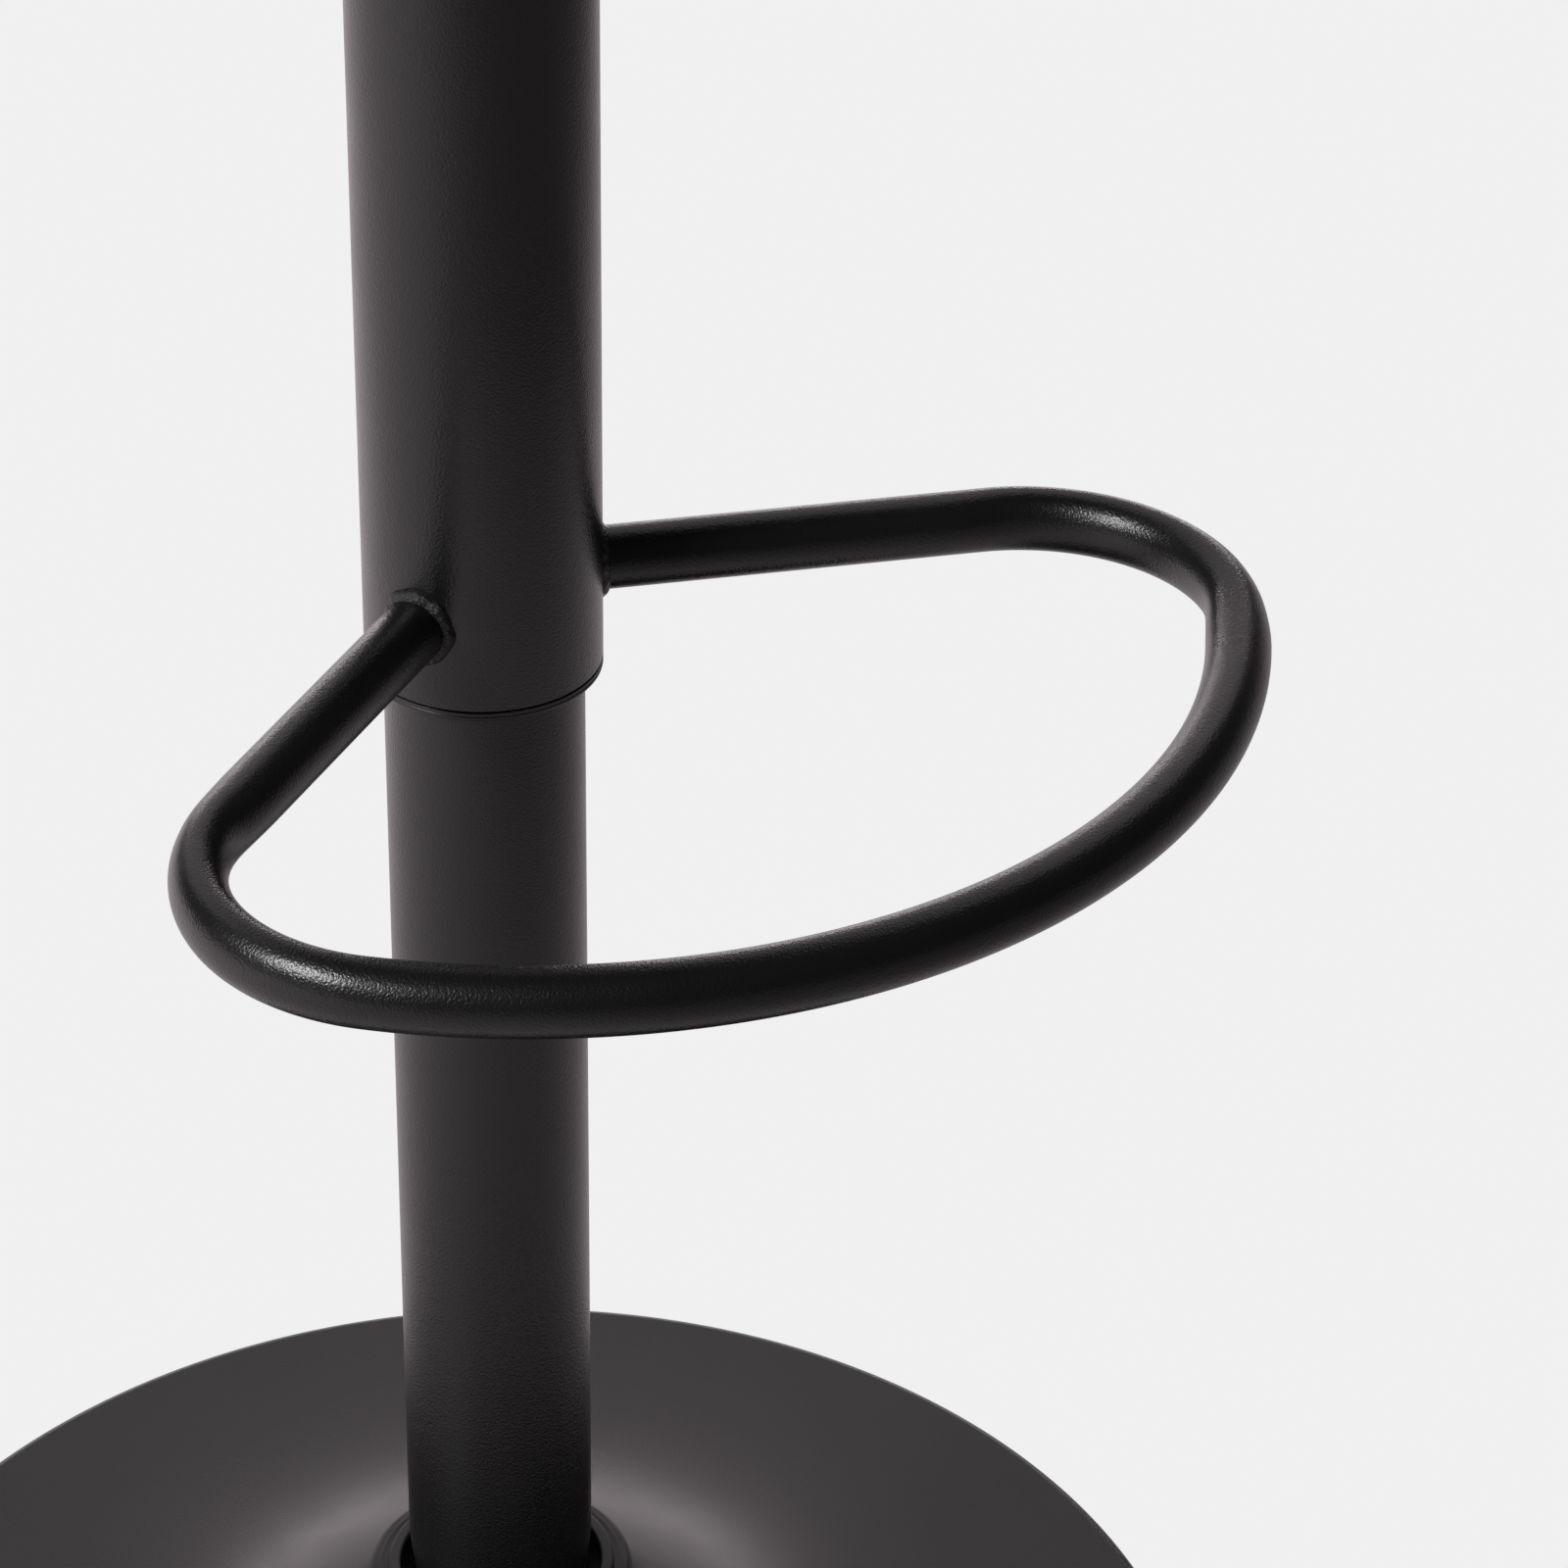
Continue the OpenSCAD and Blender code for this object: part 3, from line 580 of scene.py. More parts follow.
# The same driving sizes as the CAD bar, in the plane u = front, v = the sitter's left
BAR_R = (high("footrest_bar").z - low("footrest_bar").z) / 2
BAR_Z = (high("footrest_bar").z + low("footrest_bar").z) / 2
FRONT_R = 0.1711
FRONT_HALF = math.radians(50.9)
CORNER_R = 0.050
ARM_ANGLE = math.radians(62.8)
FRONT_U = -low("footrest_bar").y - BAR_R - FRONT_R
CORNER_U = FRONT_U + (FRONT_R - CORNER_R) * math.cos(FRONT_HALF)
CORNER_V = (FRONT_R - CORNER_R) * math.sin(FRONT_HALF)
ARM_TURN = math.pi / 2 + ARM_ANGLE      # angle at which a corner runs into its arm
ARM_DIR = (-math.cos(ARM_ANGLE), -math.sin(ARM_ANGLE))
END_U = CORNER_U + CORNER_R * math.cos(ARM_TURN)    # where a corner runs into its arm
END_V = CORNER_V + CORNER_R * math.sin(ARM_TURN)
SLEEVE = SLEEVE_R * MM
BEND_NARROWING = 0.15                   # a tube flattens a little in a tight bend
BEND_SWELLING = 0.05
BEND_BLEND = 0.015                      # over this length into and out of it
BEAD = 0.0018                           # leg of a weld bead


def to_frame(u, v, z=0.0):
    """From the footrest's own plane to the model's frame."""
    return Vector((v, -u, z))


def bend_share(distance):
    """How far the tube is into a bend, from its signed distance past the bend's start."""
    return smoothstep(0.5 + distance / (2 * BEND_BLEND))


def bar_path():
    """Stations of the bar's middle line from foot to foot: u, v, the outward angle, and its flattening."""
    arm_length = 0.098
    arm_steps, corner_steps, front_steps = 28, 56, 40
    half = []
    for i in range(arm_steps, 0, -1):
        d = arm_length * i / arm_steps
        half.append((END_U + d * ARM_DIR[0], END_V + d * ARM_DIR[1], ARM_TURN, bend_share(-d)))
    for i in range(corner_steps + 1):
        a = ARM_TURN + (FRONT_HALF - ARM_TURN) * i / corner_steps
        oval = bend_share(CORNER_R * (ARM_TURN - a)) * bend_share(CORNER_R * (a - FRONT_HALF))
        half.append((CORNER_U + CORNER_R * math.cos(a), CORNER_V + CORNER_R * math.sin(a), a, oval))
    for i in range(1, front_steps + 1):
        a = FRONT_HALF * (1 - i / front_steps)
        oval = bend_share(-FRONT_R * (FRONT_HALF - a))
        half.append((FRONT_U + FRONT_R * math.cos(a), FRONT_R * math.sin(a), a, oval))
    return half + [(u, -v, -a, oval) for u, v, a, oval in half[-2::-1]]


def to_sleeve(p, along, depth=0.0):
    """p slid in direction along until it is depth inside the sleeve's surface."""
    flat = Vector((p.x, p.y, 0))
    b = flat.dot(along)
    c = flat.dot(flat) - (SLEEVE - depth) ** 2
    return p + along * (-b - math.sqrt(b * b - c))


def make_footrest():
    sides = 56
    path = bar_path()
    verts = []
    for u, v, a, oval in path:
        for i in range(sides):
            t = 2 * math.pi * i / sides
            out = BAR_R * (1 - BEND_NARROWING * oval) * math.cos(t)
            rise = BAR_R * (1 + BEND_SWELLING * oval) * math.sin(t)
            verts.append(to_frame(u + out * math.cos(a), v + out * math.sin(a), BAR_Z + rise))
    for ring, side in ((0, 1), (len(path) - 1, -1)):
        along = to_frame(ARM_DIR[0], side * ARM_DIR[1])
        for i in range(ring * sides, (ring + 1) * sides):
            verts[i] = to_sleeve(verts[i], along, 0.0004)
    bar = add_mesh("footrest_tube", verts, capped(len(path), sides), 50)
    finish_piece(bar, "powder_coat", "carriage", ["footrest_bar"])


def weld(side):
    """A lumpy bead of weld along the line where an arm meets the sleeve."""
    stations, across = 220, 14
    up = Vector((0, 0, 1))
    along = to_frame(ARM_DIR[0], side * ARM_DIR[1])
    level = along.cross(up)
    axis = to_frame(END_U, side * END_V, BAR_Z)
    verts = []
    for j in range(stations):
        t = 2 * math.pi * j / stations
        radial = math.cos(t) * level + math.sin(t) * up
        foot = to_sleeve(axis + BAR_R * radial, along)
        normal = Vector((foot.x, foot.y, 0)).normalized()
        away = (radial - radial.dot(normal) * normal).normalized()
        ripple = abs(math.sin(4.5 * t + 1.3 * math.sin(2 * t + side)))
        size = BEAD + 0.0002 * ripple + wobble(foot, 0.005, 0.0007)
        toe = foot + size * 1.1 * away
        toe = Vector((toe.x, toe.y, 0)).normalized() * (SLEEVE - 0.0002) + toe.z * up
        heel = foot - size * 1.05 * along - 0.0002 * radial
        face = (away - along).normalized()
        for i in range(across):
            s = i / (across - 1)
            bulge = size * 0.34 * math.sin(math.pi * s) * (0.9 + 0.15 * ripple)
            p = toe.lerp(heel, s) + bulge * face
            if 0 < i < across - 1:
                p = p + face * (wobble(p, 0.0011, 0.00022) + wobble(p, 0.0027, 0.0003))
            verts.append(p)
        verts.append(foot - 0.0012 * normal - 0.001 * radial)
    return add_mesh("weld", verts, ring_faces(stations, across + 1, loop=True), 180)


def make_welds():
    beads = merge("footrest_weld_beads", [weld(1), weld(-1)])
    finish_piece(beads, "powder_coat", "carriage", ["footrest_welds"], WELD_COAT)


# --- Seat: plate, bolts and lever (millimetres) ----------------------------------------------

PLATE_TOP = high("seat_plate").z / MM
PLATE_X = high("seat_plate").x / MM
PLATE_Y = high("seat_plate").y / MM
PLATE_LOW = low("seat_plate").z / MM
SHEET = 2.5
SOCKET_R = 17.0                 # hole in the pan for the gas lift's socket
PAN_X, PAN_Y = 50.0, 32.0       # half sides of the pan's inside
SLOT_LOW, SLOT_HALF = 712.0, 7.0    # foot and half width of the lever's slot
EAR_TOP, EAR_GAP = 731.3, 10.0      # the ears round the pivot pin: their top, and half the gap


def rounded_loop(hx, hy, corner, z, per_corner=16, per_side=12):
    """Points round a rounded rectangle of half sides hx and hy, level at z."""
    corners = []
    for sx, sy, start in ((1, 1, 0), (-1, 1, 90), (-1, -1, 180), (1, -1, 270)):
        cx, cy = sx * (hx - corner), sy * (hy - corner)
        corners.append([Vector((x, y, z)) for x, y in arc(cx, cy, corner, start, start + 90, per_corner)])
    out = []
    for here, there in zip(corners, corners[1:] + corners[:1]):
        out += here
        out += [here[-1].lerp(there[0], k / per_side) for k in range(1, per_side)]
    return out


def hole_loop(r, z, like):
    """A circle whose points stand at the same angles as those of another loop."""
    return [Vector((r * p.x / math.hypot(p.x, p.y), r * p.y / math.hypot(p.x, p.y), z)) for p in like]


def bake_modifiers(obj):
    """Replaces obj's mesh by what its modifiers make of it."""
    graph = bpy.context.evaluated_depsgraph_get()
    mesh = bpy.data.meshes.new_from_object(obj.evaluated_get(graph))
    obj.modifiers.clear()
    obj.data = mesh


def cut(obj, cutter):
    """Takes cutter's shape out of obj's mesh."""
    modifier = obj.modifiers.new("cut", "BOOLEAN")
    modifier.operation = "DIFFERENCE"
    modifier.object = cutter
    modifier.solver = "EXACT"
    bake_modifiers(obj)
    bpy.data.objects.remove(cutter)


def box_mesh(a, b):
    """A box with slightly rounded edges between two corners in millimetres."""
    bm = bmesh.new()
    bmesh.ops.create_cube(bm, size=1)
    size = Vector(b) - Vector(a)
    middle = (Vector(a) + Vector(b)) / 2
    for v in bm.verts:
        v.co = Vector([(v.co[i] * size[i] + middle[i]) * MM for i in range(3)])
    bmesh.ops.bevel(bm, geom=bm.edges[:], offset=0.5 * MM, segments=2, affect="EDGES", profile=0.5)
    mesh = bpy.data.meshes.new("box")
    bm.to_mesh(mesh)
    bm.free()
    mesh.polygons.foreach_set("use_smooth", [True] * len(mesh.polygons))
    obj = bpy.data.objects.new("box", mesh)
    bpy.context.scene.collection.objects.link(obj)
    return obj


def make_seat_plate():
    """The pressed steel plate under the seat: a flange round a rounded pan, slotted for the lever."""
    pan_x, pan_y = PAN_X + SHEET, PAN_Y + SHEET
    low_z = PLATE_TOP - SHEET
    fillet, round_r = 4.0, 5.0
    lower = [(PLATE_X - 0.4, PLATE_Y - 0.4, 13.6, PLATE_TOP), (PLATE_X, PLATE_Y, 14, PLATE_TOP - 0.4)]
    lower += [(PLATE_X, PLATE_Y, 14, low_z + 0.5), (PLATE_X - 0.5, PLATE_Y - 0.5, 13.5, low_z)]
    for x, z in arc(fillet, low_z - fillet, fillet, 90, 180, 6):
        lower.append((pan_x + x, pan_y + x, 11 + x, z))
    for x, z in arc(-round_r, PLATE_LOW + round_r, round_r, 0, -90, 6):
        lower.append((pan_x + x, pan_y + x, 11 + x, z))
    upper = []
    for x, z in arc(-round_r, PLATE_LOW + round_r, round_r - SHEET, -90, 0, 4):
        upper.append((pan_x + x, pan_y + x, 11 + x, z))
    for x, z in arc(fillet, low_z - fillet, fillet + SHEET, 180, 90, 4):
        upper.append((pan_x + x, pan_y + x, 11 + x, z))
    loops = [rounded_loop(*loop) for loop in lower]
    like = loops[-1]
    loops += [hole_loop(SOCKET_R, PLATE_LOW, like), hole_loop(SOCKET_R, PLATE_LOW + SHEET, like)]
    loops += [rounded_loop(*loop) for loop in upper]
    verts = [p * MM for loop in loops for p in loop]
    plate = add_mesh("plate", verts, ring_faces(len(loops), len(like), loop=True), 35)
    cut(plate, box_mesh((-pan_x - 8, -SLOT_HALF, SLOT_LOW), (-pan_x + 8, SLOT_HALF, low_z - 0.2)))
    ear_low = PLATE_LOW + SHEET - 0.3
    sides = (-EAR_GAP - SHEET, EAR_GAP)
    ears = [box_mesh((-40, y, ear_low), (-24, y + SHEET, EAR_TOP)) for y in sides]
    plate = merge("seat_mount_plate", [plate, *ears])
    plate.data.set_sharp_from_angle(angle=math.radians(35))
    finish_piece(plate, "powder_coat", "carriage", ["seat_plate"])


BOLT_X, BOLT_Y = 70.0, 60.0
HEAD_R, HEAD_H = 7.5, 5.3
WASHER_R, WASHER_T = 8.5, 1.6


def bolt_head(x, y, turn):
    """A chamfered hexagon head with a short shank, pointing down."""
    top = PLATE_TOP - SHEET - WASHER_T
    foot = top - HEAD_H
    flat = HEAD_R * math.cos(math.radians(30))
    levels = [(top + 2.0, 3.9), (top - 0.1, 3.9), (top, flat - 0.5), (top - 0.4, 99), (foot + 1.6, 99)]
    levels += [(foot + 0.9, HEAD_R - 0.25), (foot + 0.35, HEAD_R - 0.9), (foot, flat - 0.55)]
    levels += [(foot, flat - 1.4), (foot + 0.35, flat - 1.9)]
    count = 96
    verts = []
    for z, limit in levels:
        for i in range(count):
            a = 2 * math.pi * i / count
            corner = (a + math.radians(30)) % math.radians(60) - math.radians(30)
            r = min(limit, flat / math.cos(corner))
            verts.append(Vector((x + r * math.cos(a + turn), y + r * math.sin(a + turn), z)) * MM)
    return add_mesh("bolt", verts, capped(len(levels), count), 28)


def make_bolts():
    heads, washers = [], []
    top = PLATE_TOP - SHEET
    ring = [(WASHER_R - 0.3, top), (WASHER_R, top - 0.3), (WASHER_R, top - WASHER_T + 0.5)]
    ring += [(WASHER_R - 0.5, top - WASHER_T), (4.3, top - WASHER_T), (4.3, top)]
    for k, (sx, sy) in enumerate(((1, 1), (-1, 1), (-1, -1), (1, -1))):
        x, y = sx * BOLT_X, sy * BOLT_Y
        heads.append(bolt_head(x, y, 0.35 + 1.1 * k))
        washer = lathe("washer", ring, 48, 30)
        washer.data.transform(Matrix.Translation((x * MM, y * MM, 0)))
        washers.append(washer)
    finish_piece(merge("seat_bolt_heads", heads), "zinc", "carriage", ["seat_bolts"])
    finish_piece(merge("seat_bolt_washers", washers), "zinc", "carriage", ["seat_washers"])


PIVOT = (low("lever_pin") + high("lever_pin")) / 2
LEVER_R = 0.004
LEVER_DROOP = math.radians(11)
LEVER_OUT = 0.160
GRIP_START = 0.114
GRIP_LENGTH = 52.0


def lever_out(d):
    """A point on the lever's outer stretch, d from the pivot."""
    return PIVOT + Vector((-d * math.cos(LEVER_DROOP), 0, -d * math.sin(LEVER_DROOP)))


def boss_outline():
    """The sleeve that turns on the pivot pin, in the pin's own axis."""
    half, r, bore = 9.5, 7.0, 2.55
    outline = [(bore, -half)] + arc(r - 0.8, -half + 0.8, 0.8, -90, 0, 4)
    return outline + arc(r - 0.8, half - 0.8, 0.8, 0, 90, 4) + [(bore, half)]


def grip_outline():
    """The moulded grip along its own axis: a soft cone with finger rings and a domed end."""
    end_r, dome, rings = 7.8, 6.0, 6
    outline = [(3.95, 0), (4.4, 0)] + arc(4.7, 0.5, 0.5, -90, 0, 3)
    steps = 120
    for i in range(1, steps + 1):
        s = i / steps
        r = end_r - 2.2 * (1 - math.sin(math.pi / 2 * s))
        if 0.30 < s < 0.78:
            r -= 0.35 * (0.5 - 0.5 * math.cos(2 * math.pi * rings * (s - 0.30) / 0.48)) ** 4
        outline.append((r, 1 + (GRIP_LENGTH - dome - 1) * s))
    outline += arc(end_r - dome, GRIP_LENGTH - dome, dome, 5, 88, 12)
    return outline + [(0.01, GRIP_LENGTH), (0.01, GRIP_LENGTH - 6), (3.95, GRIP_LENGTH - 6)]


def make_lever():
    path = [PIVOT + Vector((d * MM, 0, 0)) for d in (38, 37.4, 36.5, 30, 24, 18, 12)]
    bend = 0.010
    start, end = PIVOT + Vector((bend, 0, 0)), lever_out(bend)
    for i in range(9):
        s = i / 8
        path.append(start.lerp(PIVOT, s).lerp(PIVOT.lerp(end, s), s))
    path += [lever_out(bend + (LEVER_OUT - 0.004 - bend) * i / 14) for i in range(1, 15)]

    def thickness(s):
        return LEVER_R * min(1.0, 0.72 + s * 12)

    rod = sweep("rod", path, thickness, 28)
    boss = lathe("boss", boss_outline(), 40)
    boss.data.transform(Matrix.Translation(PIVOT) @ Matrix.Rotation(math.radians(90), 4, "X"))
    finish_piece(merge("lever_bar", [rod, boss]), "zinc", "lever", ["lever_rod"])
    grip = lathe("lever_handle", grip_outline(), 64)
    turn = Matrix.Rotation(math.radians(-90) - LEVER_DROOP, 4, "Y")
    grip.data.transform(Matrix.Translation(lever_out(GRIP_START)) @ turn)
    finish_piece(grip, "grip_plastic", "lever", ["lever_grip"])


# --- Upholstery (metres) ---------------------------------------------------------------------

BOARD_LOW = low("seat_board").z
BOARD_TOP = high("seat_board").z
COVER_R = high("seat_cover").x
COVER_LOW = low("seat_cover").z
SEAT_TOP = high("seat_cover").z
EDGE_TOP = SEAT_TOP - 0.018     # where the side would meet the top without its rounding
SHOULDER = 0.016
HEM_R = COVER_R - 0.013         # inner edge of the hem under the board
LEAN = math.radians(50)         # direction in which the welt stands off the shoulder
SEAM_R = COVER_R - SHOULDER + (SHOULDER - 0.001) * math.cos(LEAN)
SEAM_Z = EDGE_TOP - SHOULDER + (SHOULDER - 0.001) * math.sin(LEAN)
CROWN = SEAT_TOP - SEAM_Z - 0.0014   # rise of the top panel before it is filled
GRID = 64                       # quads across the top panel


def square_to_disc(i, j):
    """A point of the unit disc for a cell corner of a square grid, with evenly sized cells."""
    a, b = 2 * i / GRID - 1, 2 * j / GRID - 1
    if a == 0 and b == 0:
        return 0.0, 0.0
    if abs(a) > abs(b):
        r, t = a, math.pi / 4 * b / a
    else:
        r, t = b, math.pi / 2 - math.pi / 4 * a / b
    return r * math.cos(t), r * math.sin(t)


def rim_cells():
    """Cell corners round the edge of the grid, in order."""
    n = GRID
    edge = [(n, j) for j in range(n)] + [(i, n) for i in range(n, 0, -1)]
    return edge + [(0, j) for j in range(n, 0, -1)] + [(i, 0) for i in range(n)]


def boxing_profile():
    """(r, z) of the cover's side from just under the top seam down, under the board and up into it."""
    rows = [(SEAM_R + 0.0014, SEAM_Z - 0.0014), (SEAM_R + 0.0032, SEAM_Z - 0.006)]
    start, end = SEAM_Z - 0.012, COVER_LOW + 0.004
    for i in range(13):
        z = start + (end - start) * i / 12
        rows.append((COVER_R - 0.0006 - 0.0012 * smoothstep((z - BOARD_TOP) / 0.012), z))
    rows += [(COVER_R - 0.0014, COVER_LOW + 0.0018), (COVER_R - 0.0026, COVER_LOW + 0.0004)]
    rows += [(COVER_R - 0.006, COVER_LOW), (HEM_R + 0.003, COVER_LOW), (HEM_R, COVER_LOW + 0.0002)]
    return rows + [(HEM_R - 0.0003, COVER_LOW + 0.0008), (HEM_R, BOARD_LOW + 0.001)]


def disc_panel(verts, faces, r, level):
    """Adds a round panel of even cells; level gives a point's height from its distance out, 0 to 1."""
    index = {}
    for i in range(GRID + 1):
        for j in range(GRID + 1):
            x, y = square_to_disc(i, j)
            index[i, j] = len(verts)
            verts.append((x * r, y * r, level(math.hypot(x, y))))
    for i in range(GRID):
        for j in range(GRID):
            faces.append((index[i, j], index[i + 1, j], index[i + 1, j + 1], index[i, j + 1]))
    return [index[c] for c in rim_cells()]


def cushion_mesh():
    """The cover before it is filled: points, faces, and how many points the top panel has."""
    verts, faces = [], []
    rim = rim_cells()
    previous = disc_panel(verts, faces, SEAM_R - 0.0004, lambda s: SEAM_Z + 0.0003 + CROWN * (1 - s ** 2.4))
    top_count = len(verts)

    def join(ring):
        for k in range(len(rim)):
            m = (k + 1) % len(rim)
            faces.append((previous[k], previous[m], ring[m], ring[k]))

    for r, z in boxing_profile():
        ring = list(range(len(verts), len(verts) + len(rim)))
        for c in rim:
            x, y = square_to_disc(*c)
            verts.append((x * r, y * r, z))
        join(ring)
        previous = ring
    join(disc_panel(verts, faces, HEM_R - 0.002, lambda s: BOARD_LOW + 0.004))
    return verts, faces, top_count


def fill_cushion(obj, held):
    """Blows the cover up against its seams with a short cloth simulation, then keeps the result."""
    scene = bpy.context.scene
    group = obj.vertex_groups.new(name="held")
    group.add(held, 1.0, "REPLACE")
    before = [v.co.copy() for v in obj.data.vertices]
    modifier = obj.modifiers.new("cloth", "CLOTH")
    cloth = modifier.settings
    cloth.quality = 6
    cloth.mass = 0.25
    cloth.tension_stiffness = 22
    cloth.compression_stiffness = 22
    cloth.shear_stiffness = 8
    cloth.bending_stiffness = 1.2
    cloth.use_pressure = True
    cloth.uniform_pressure_force = 5.0
    cloth.effector_weights.gravity = 0
    cloth.vertex_group_mass = "held"
    modifier.collision_settings.use_collision = False
    frames, furthest = 20, 0.012
    modifier.point_cache.frame_start = 1
    modifier.point_cache.frame_end = frames
    for f in range(1, frames + 1):
        scene.frame_set(f)
    bake_modifiers(obj)
    scene.frame_set(1)
    for v, start in zip(obj.data.vertices, before):
        move = v.co - start
        if move.length > furthest:
            v.co = start + move * (furthest / move.length)
    obj.vertex_groups.clear()


def around(a, count, z=0.0):
    """A point on a circle for noise that repeats every turn, with about count features round it."""
    return Vector((math.cos(a) * count, math.sin(a) * count, z))


def dress_cushion(obj):
    """Puckers beside the welt, soft creases in the boxing, its back seam, and pleats in the hem."""
    for v in obj.data.vertices:
        r = math.hypot(v.co.x, v.co.y)
        if r < 0.02:
            continue
        out = Vector((v.co.x / r, v.co.y / r, 0))
        a = math.atan2(v.co.y, v.co.x)
        near = max(0.0, 1 - abs(math.hypot(r - SEAM_R, v.co.z - SEAM_Z) - 0.007) / 0.012)
        pull = noise.noise(around(a, 9, 1.7 if v.co.z > SEAM_Z else 5.3))
        pucker = noise.noise(around(a, 26, 3.1))
        v.co += (out + Vector((0, 0, 0.6))) * near * (0.0003 * pull + 0.00035 * pucker)
        if r > HEM_R + 0.005:
            side = smoothstep((v.co.z - BOARD_LOW) / 0.009) * smoothstep((SEAM_Z - 0.002 - v.co.z) / 0.009)
            seam = abs(math.remainder(a - math.pi / 2, 2 * math.pi)) * r
            fold = 0.0006 * smoothstep(1 - seam / 0.0045)
            v.co += out * side * (0.0004 * noise.noise(around(a, 8, v.co.z * 30)) - fold)
        if v.co.z < BOARD_LOW - 0.0003 and r < COVER_R - 0.003:
            v.co.z += 0.0004 * noise.noise(around(a, 34, 7.7))


def make_cushion():
    verts, faces, top_count = cushion_mesh()
    cushion = add_mesh("seat_cushion", verts, faces, 180)
    held = [k for k in range(top_count) if math.hypot(*verts[k][:2]) > SEAM_R - 0.0015]
    held += [k for k in range(top_count, len(verts)) if verts[k][2] < BOARD_TOP + 0.001]
    held += list(range(top_count, top_count + len(rim_cells())))
    fill_cushion(cushion, held)
    smooth = cushion.modifiers.new("smooth", "SUBSURF")
    smooth.levels = smooth.render_levels = 1
    bake_modifiers(cushion)
    dress_cushion(cushion)
    finish_piece(cushion, "faux_leather", "carriage", ["seat_cover", "seat_foam"])
    return cushion


def make_welt():
    """The piping sewn into the seam between the top panel and the boxing."""
    welt_r, count, sides = 0.0026, 480, 20
    stand = welt_r - 0.0010     # how far its middle is from the seam it is sewn into
    verts = []
    for j in range(count):
        a = 2 * math.pi * j / count
        out = Vector((math.cos(a), math.sin(a), 0))
        sway = noise.noise(around(a, 7, 0.4))
        r = welt_r * (1 + 0.035 * noise.noise(around(a, 40, 2.2)))
        middle = out * (SEAM_R + stand * math.cos(LEAN) + 0.0003 * sway)
        middle.z = SEAM_Z + stand * math.sin(LEAN) + 0.0002 * sway
        for i in range(sides):
            t = 2 * math.pi * i / sides
            verts.append(middle + r * (math.cos(t) * out + math.sin(t) * Vector((0, 0, 1))))
    welt = add_mesh("seat_welt", verts, ring_faces(count, sides, loop=True), 180)
    finish_piece(welt, "faux_leather", "carriage", ["seat_piping"])


def make_stitches(cushion):
    """Two rows of stitches that hold the boxing's back seam flat."""
    tree = BVHTree.FromObject(cushion, bpy.context.evaluated_depsgraph_get())
    stitches = []
    length, pitch = 0.0036, 0.0050
    rows = int((SEAM_Z - 0.012 - COVER_LOW - 0.006) / pitch)
    for side in (-1, 1):
        for k in range(rows):
            z = COVER_LOW + 0.006 + pitch * k
            path = []
            for s in (0.0, 0.12, 0.5, 0.88, 1.0):
                hit = tree.ray_cast(Vector((side * 0.0042, 0.3, z + length * s)), Vector((0, -1, 0)))
                sink = 0.0004 if s in (0.0, 1.0) else -0.00012
                path.append(hit[0] - Vector((0, sink, 0)))
            stitches.append(sweep("stitch", path, 0.00032, 8))
    finish_piece(merge("boxing_stitches", stitches), "faux_leather", "carriage", material=THREAD)


def make_dust_cover():
    """Black cloth stretched under the board, rippled a little towards its edge."""
    outer, base = high("dust_cover").x, low("dust_cover").z + 0.0001
    rings, count, thick = 24, 180, 0.0007
    radii = [outer - (outer - 0.010) * j / (rings - 1) for j in range(rings)]
    verts = []
    for level, order in ((0.0, radii), (thick, radii[::-1])):
        for r in order:
            for i in range(count):
                a = 2 * math.pi * i / count
                x, y = r * math.cos(a), r * math.sin(a)
                ripple = smoothstep((r - 0.12) / 0.045) * wobble((x, y, 0.5), 0.011, 0.00025)
                verts.append((x, y, base + level + ripple))
    cloth = add_mesh("dust_cover_cloth", verts, ring_faces(2 * rings, count, loop=True), 60)
    finish_piece(cloth, "dust_cloth", "carriage", ["dust_cover"])


def make_staples():
    """Wire staples that hold the hem to the board, each a little askew."""
    count, span, wire = 28, 0.0046, 0.00045
    ring_r = COVER_R - 0.0085
    z = low("cover_staples").z + wire
    up = Vector((0, 0, 0.004))
    staples = []
    for i in range(count):
        a = 2 * math.pi * (i + 0.5) / count
        askew = a + math.radians(20) + 0.15 * math.sin(5.1 * i)
        reach = span * Vector((-math.sin(askew), math.cos(askew), 0))
        c = Vector((ring_r * math.cos(a), ring_r * math.sin(a), z))
        half = [c + reach + up, c + reach + up * 0.12, c + reach * 0.97 + up * 0.03, c + reach * 0.9]
        path = half + [c] + [2 * c - p + 2 * (p.z - c.z) * Vector((0, 0, 1)) for p in half[::-1]]
        staples.append(sweep("staple", path, wire, 10))
    finish_piece(merge("hem_staples", staples), "zinc", "carriage", ["cover_staples"])


dress_cad_nodes()
make_base_dish()
make_collar()
make_edging()
make_floor_mat()
make_column()
make_guide_ring()
make_footrest()
make_welds()
make_seat_plate()
make_bolts()
make_lever()
seat_cushion = make_cushion()
make_welt()
make_stitches(seat_cushion)
make_dust_cover()
make_staples()


# --- Studio ----------------------------------------------------------------------------------

CAMERA_PLACE = Vector((-0.6800, -0.9143, SLEEVE_END * MM + 0.6608))
CAMERA_YAW = math.radians(-40.46)
CAMERA_PITCH = math.radians(31.565)
CAMERA_ROLL = math.radians(-0.91)
CAMERA_LENS = 120.13
WARM = (1.0, 0.90, 0.93)        # tint of the light thrown back by the room


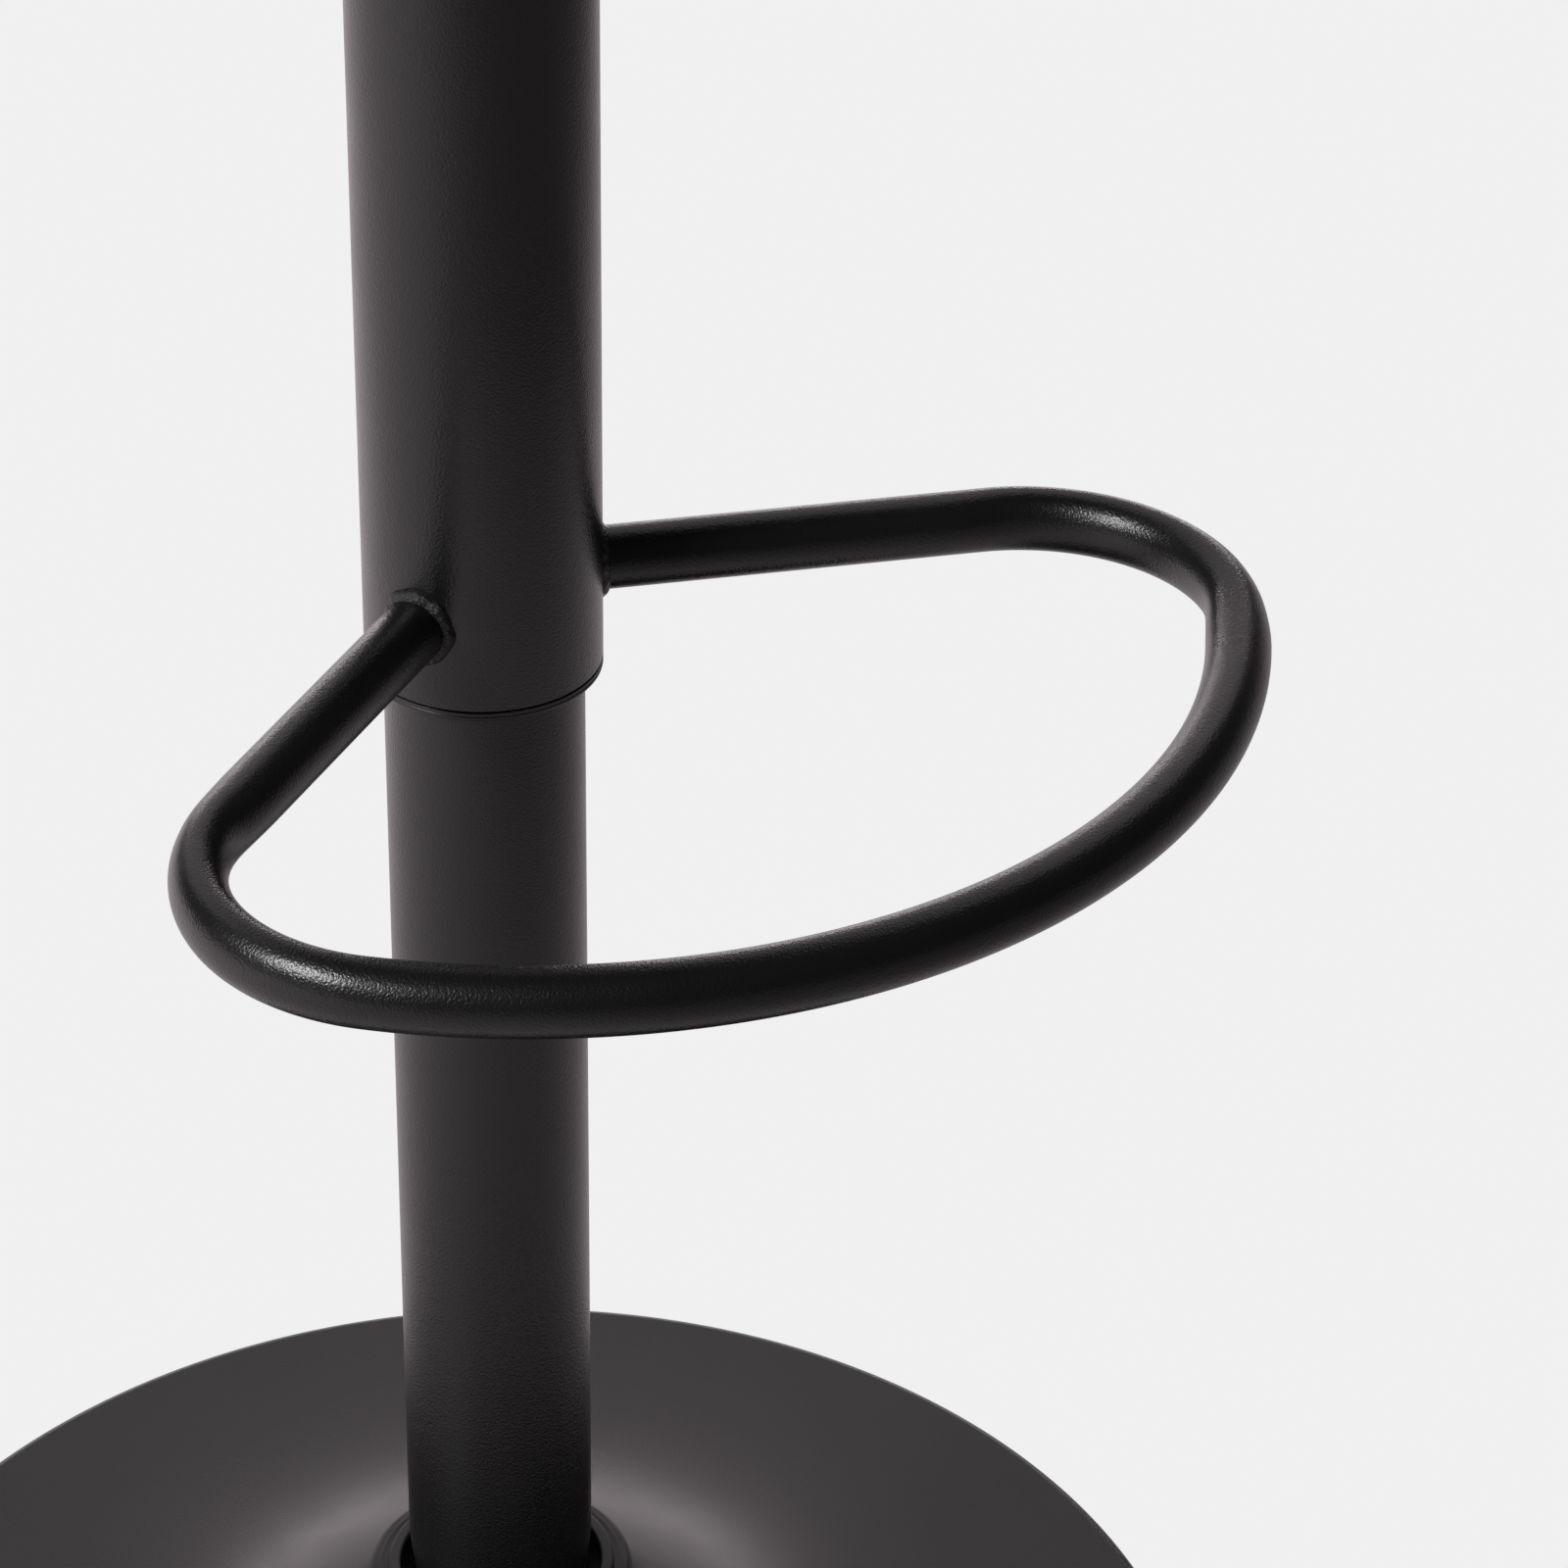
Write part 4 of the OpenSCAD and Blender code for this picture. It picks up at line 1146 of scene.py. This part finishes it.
def make_camera():
    turn = Matrix.Rotation(CAMERA_YAW, 3, "Z")
    ahead = turn @ Vector((0, math.cos(CAMERA_PITCH), -math.sin(CAMERA_PITCH)))
    right = turn @ Vector((1, 0, 0))
    down = turn @ Vector((0, -math.sin(CAMERA_PITCH), -math.cos(CAMERA_PITCH)))
    c, s = math.cos(CAMERA_ROLL), math.sin(CAMERA_ROLL)
    right, down = c * right + s * down, c * down - s * right
    data = bpy.data.cameras.new("camera")
    data.lens = CAMERA_LENS
    data.sensor_width = 36
    data.clip_start = 0.05
    data.clip_end = 60
    camera = bpy.data.objects.new("camera", data)
    bpy.context.scene.collection.objects.link(camera)
    rotation = Matrix((right, -down, -ahead)).transposed()
    camera.matrix_world = Matrix.Translation(CAMERA_PLACE) @ rotation.to_4x4()
    bpy.context.scene.camera = camera


def softbox(name, azimuth, elevation, distance, width, height, power, colour=(1, 1, 1)):
    """A rectangular soft light aimed at the middle of the stool. Azimuth 0 is in front, 90 at +X."""
    a, e = math.radians(azimuth), math.radians(elevation)
    target = Vector((0, 0, 0.4))
    place = target + distance * Vector((math.sin(a) * math.cos(e), -math.cos(a) * math.cos(e), math.sin(e)))
    data = bpy.data.lights.new(name, "AREA")
    data.shape = "RECTANGLE"
    data.size = width
    data.size_y = height
    data.energy = power
    data.color = colour
    light = bpy.data.objects.new(name, data)
    bpy.context.scene.collection.objects.link(light)
    aim = (target - place).to_track_quat("-Z", "Y")
    light.matrix_world = Matrix.Translation(place) @ aim.to_matrix().to_4x4()


def make_world(ambient, backdrop):
    """Even light all round, and the pale backdrop that the camera sees."""
    world = bpy.data.worlds.new("studio")
    world.use_nodes = True
    nodes, links = world.node_tree.nodes, world.node_tree.links
    seen = nodes["Background"]
    seen.inputs["Color"].default_value = (backdrop, backdrop, backdrop, 1)
    light = nodes.new("ShaderNodeBackground")
    light.inputs["Color"].default_value = (ambient, ambient, ambient, 1)
    path = nodes.new("ShaderNodeLightPath")
    mix = nodes.new("ShaderNodeMixShader")
    links.new(path.outputs["Is Camera Ray"], mix.inputs["Fac"])
    links.new(light.outputs[0], mix.inputs[1])
    links.new(seen.outputs[0], mix.inputs[2])
    links.new(mix.outputs[0], nodes["World Output"].inputs["Surface"])
    bpy.context.scene.world = world


def make_floor(pale, lit_glow, dim_glow, lit_side, tint):
    """A pale floor of even brightness, which lights the object from below, more from its lit side."""
    half = 12.0
    corners = [(-half, -half, 0), (half, -half, 0), (half, half, 0), (-half, half, 0)]
    floor = add_mesh("floor", corners, [(0, 1, 2, 3)])
    s = Shader("pale_floor")
    nodes, links = s.tree.nodes, s.tree.links
    across = s.add("ShaderNodeVectorMath", operation="DOT_PRODUCT")
    a = math.radians(lit_side)
    across.inputs[1].default_value = (math.sin(a), -math.cos(a), 0)
    s.link(s.coords, across, 0)
    glow = s.add("ShaderNodeEmission")
    glow.inputs["Color"].default_value = (*tint, 1)
    s.link(s.ramp(across.outputs["Value"], -0.8, 0.8, dim_glow, lit_glow), glow, "Strength")
    seen = s.add("ShaderNodeEmission")
    seen.inputs["Color"].default_value = (pale, pale, pale, 1)
    mix = s.add("ShaderNodeMixShader")
    s.link(s.add("ShaderNodeLightPath").outputs["Is Camera Ray"], mix, "Fac")
    links.new(glow.outputs[0], mix.inputs[1])
    links.new(seen.outputs[0], mix.inputs[2])
    links.new(mix.outputs[0], nodes["Material Output"].inputs["Surface"])
    floor.data.materials.append(s.material)


def make_studio():
    scene = bpy.context.scene
    scene.view_settings.view_transform = "Standard"
    scene.view_settings.look = "None"
    make_world(ambient=0.05, backdrop=0.871)
    make_floor(pale=0.871, lit_glow=1.05, dim_glow=0.22, lit_side=200, tint=WARM)
    softbox("key", -92, 36, 1.5, 0.42, 0.50, 17)
    softbox("fill", -92, 40, 5, 3.2, 3.4, 30)
    softbox("horizon", 143, 4, 5, 4.1, 0.7, 42, WARM)
    softbox("backdrop", 150, 45, 5, 7.0, 4.6, 62, WARM)
    make_camera()


make_studio()
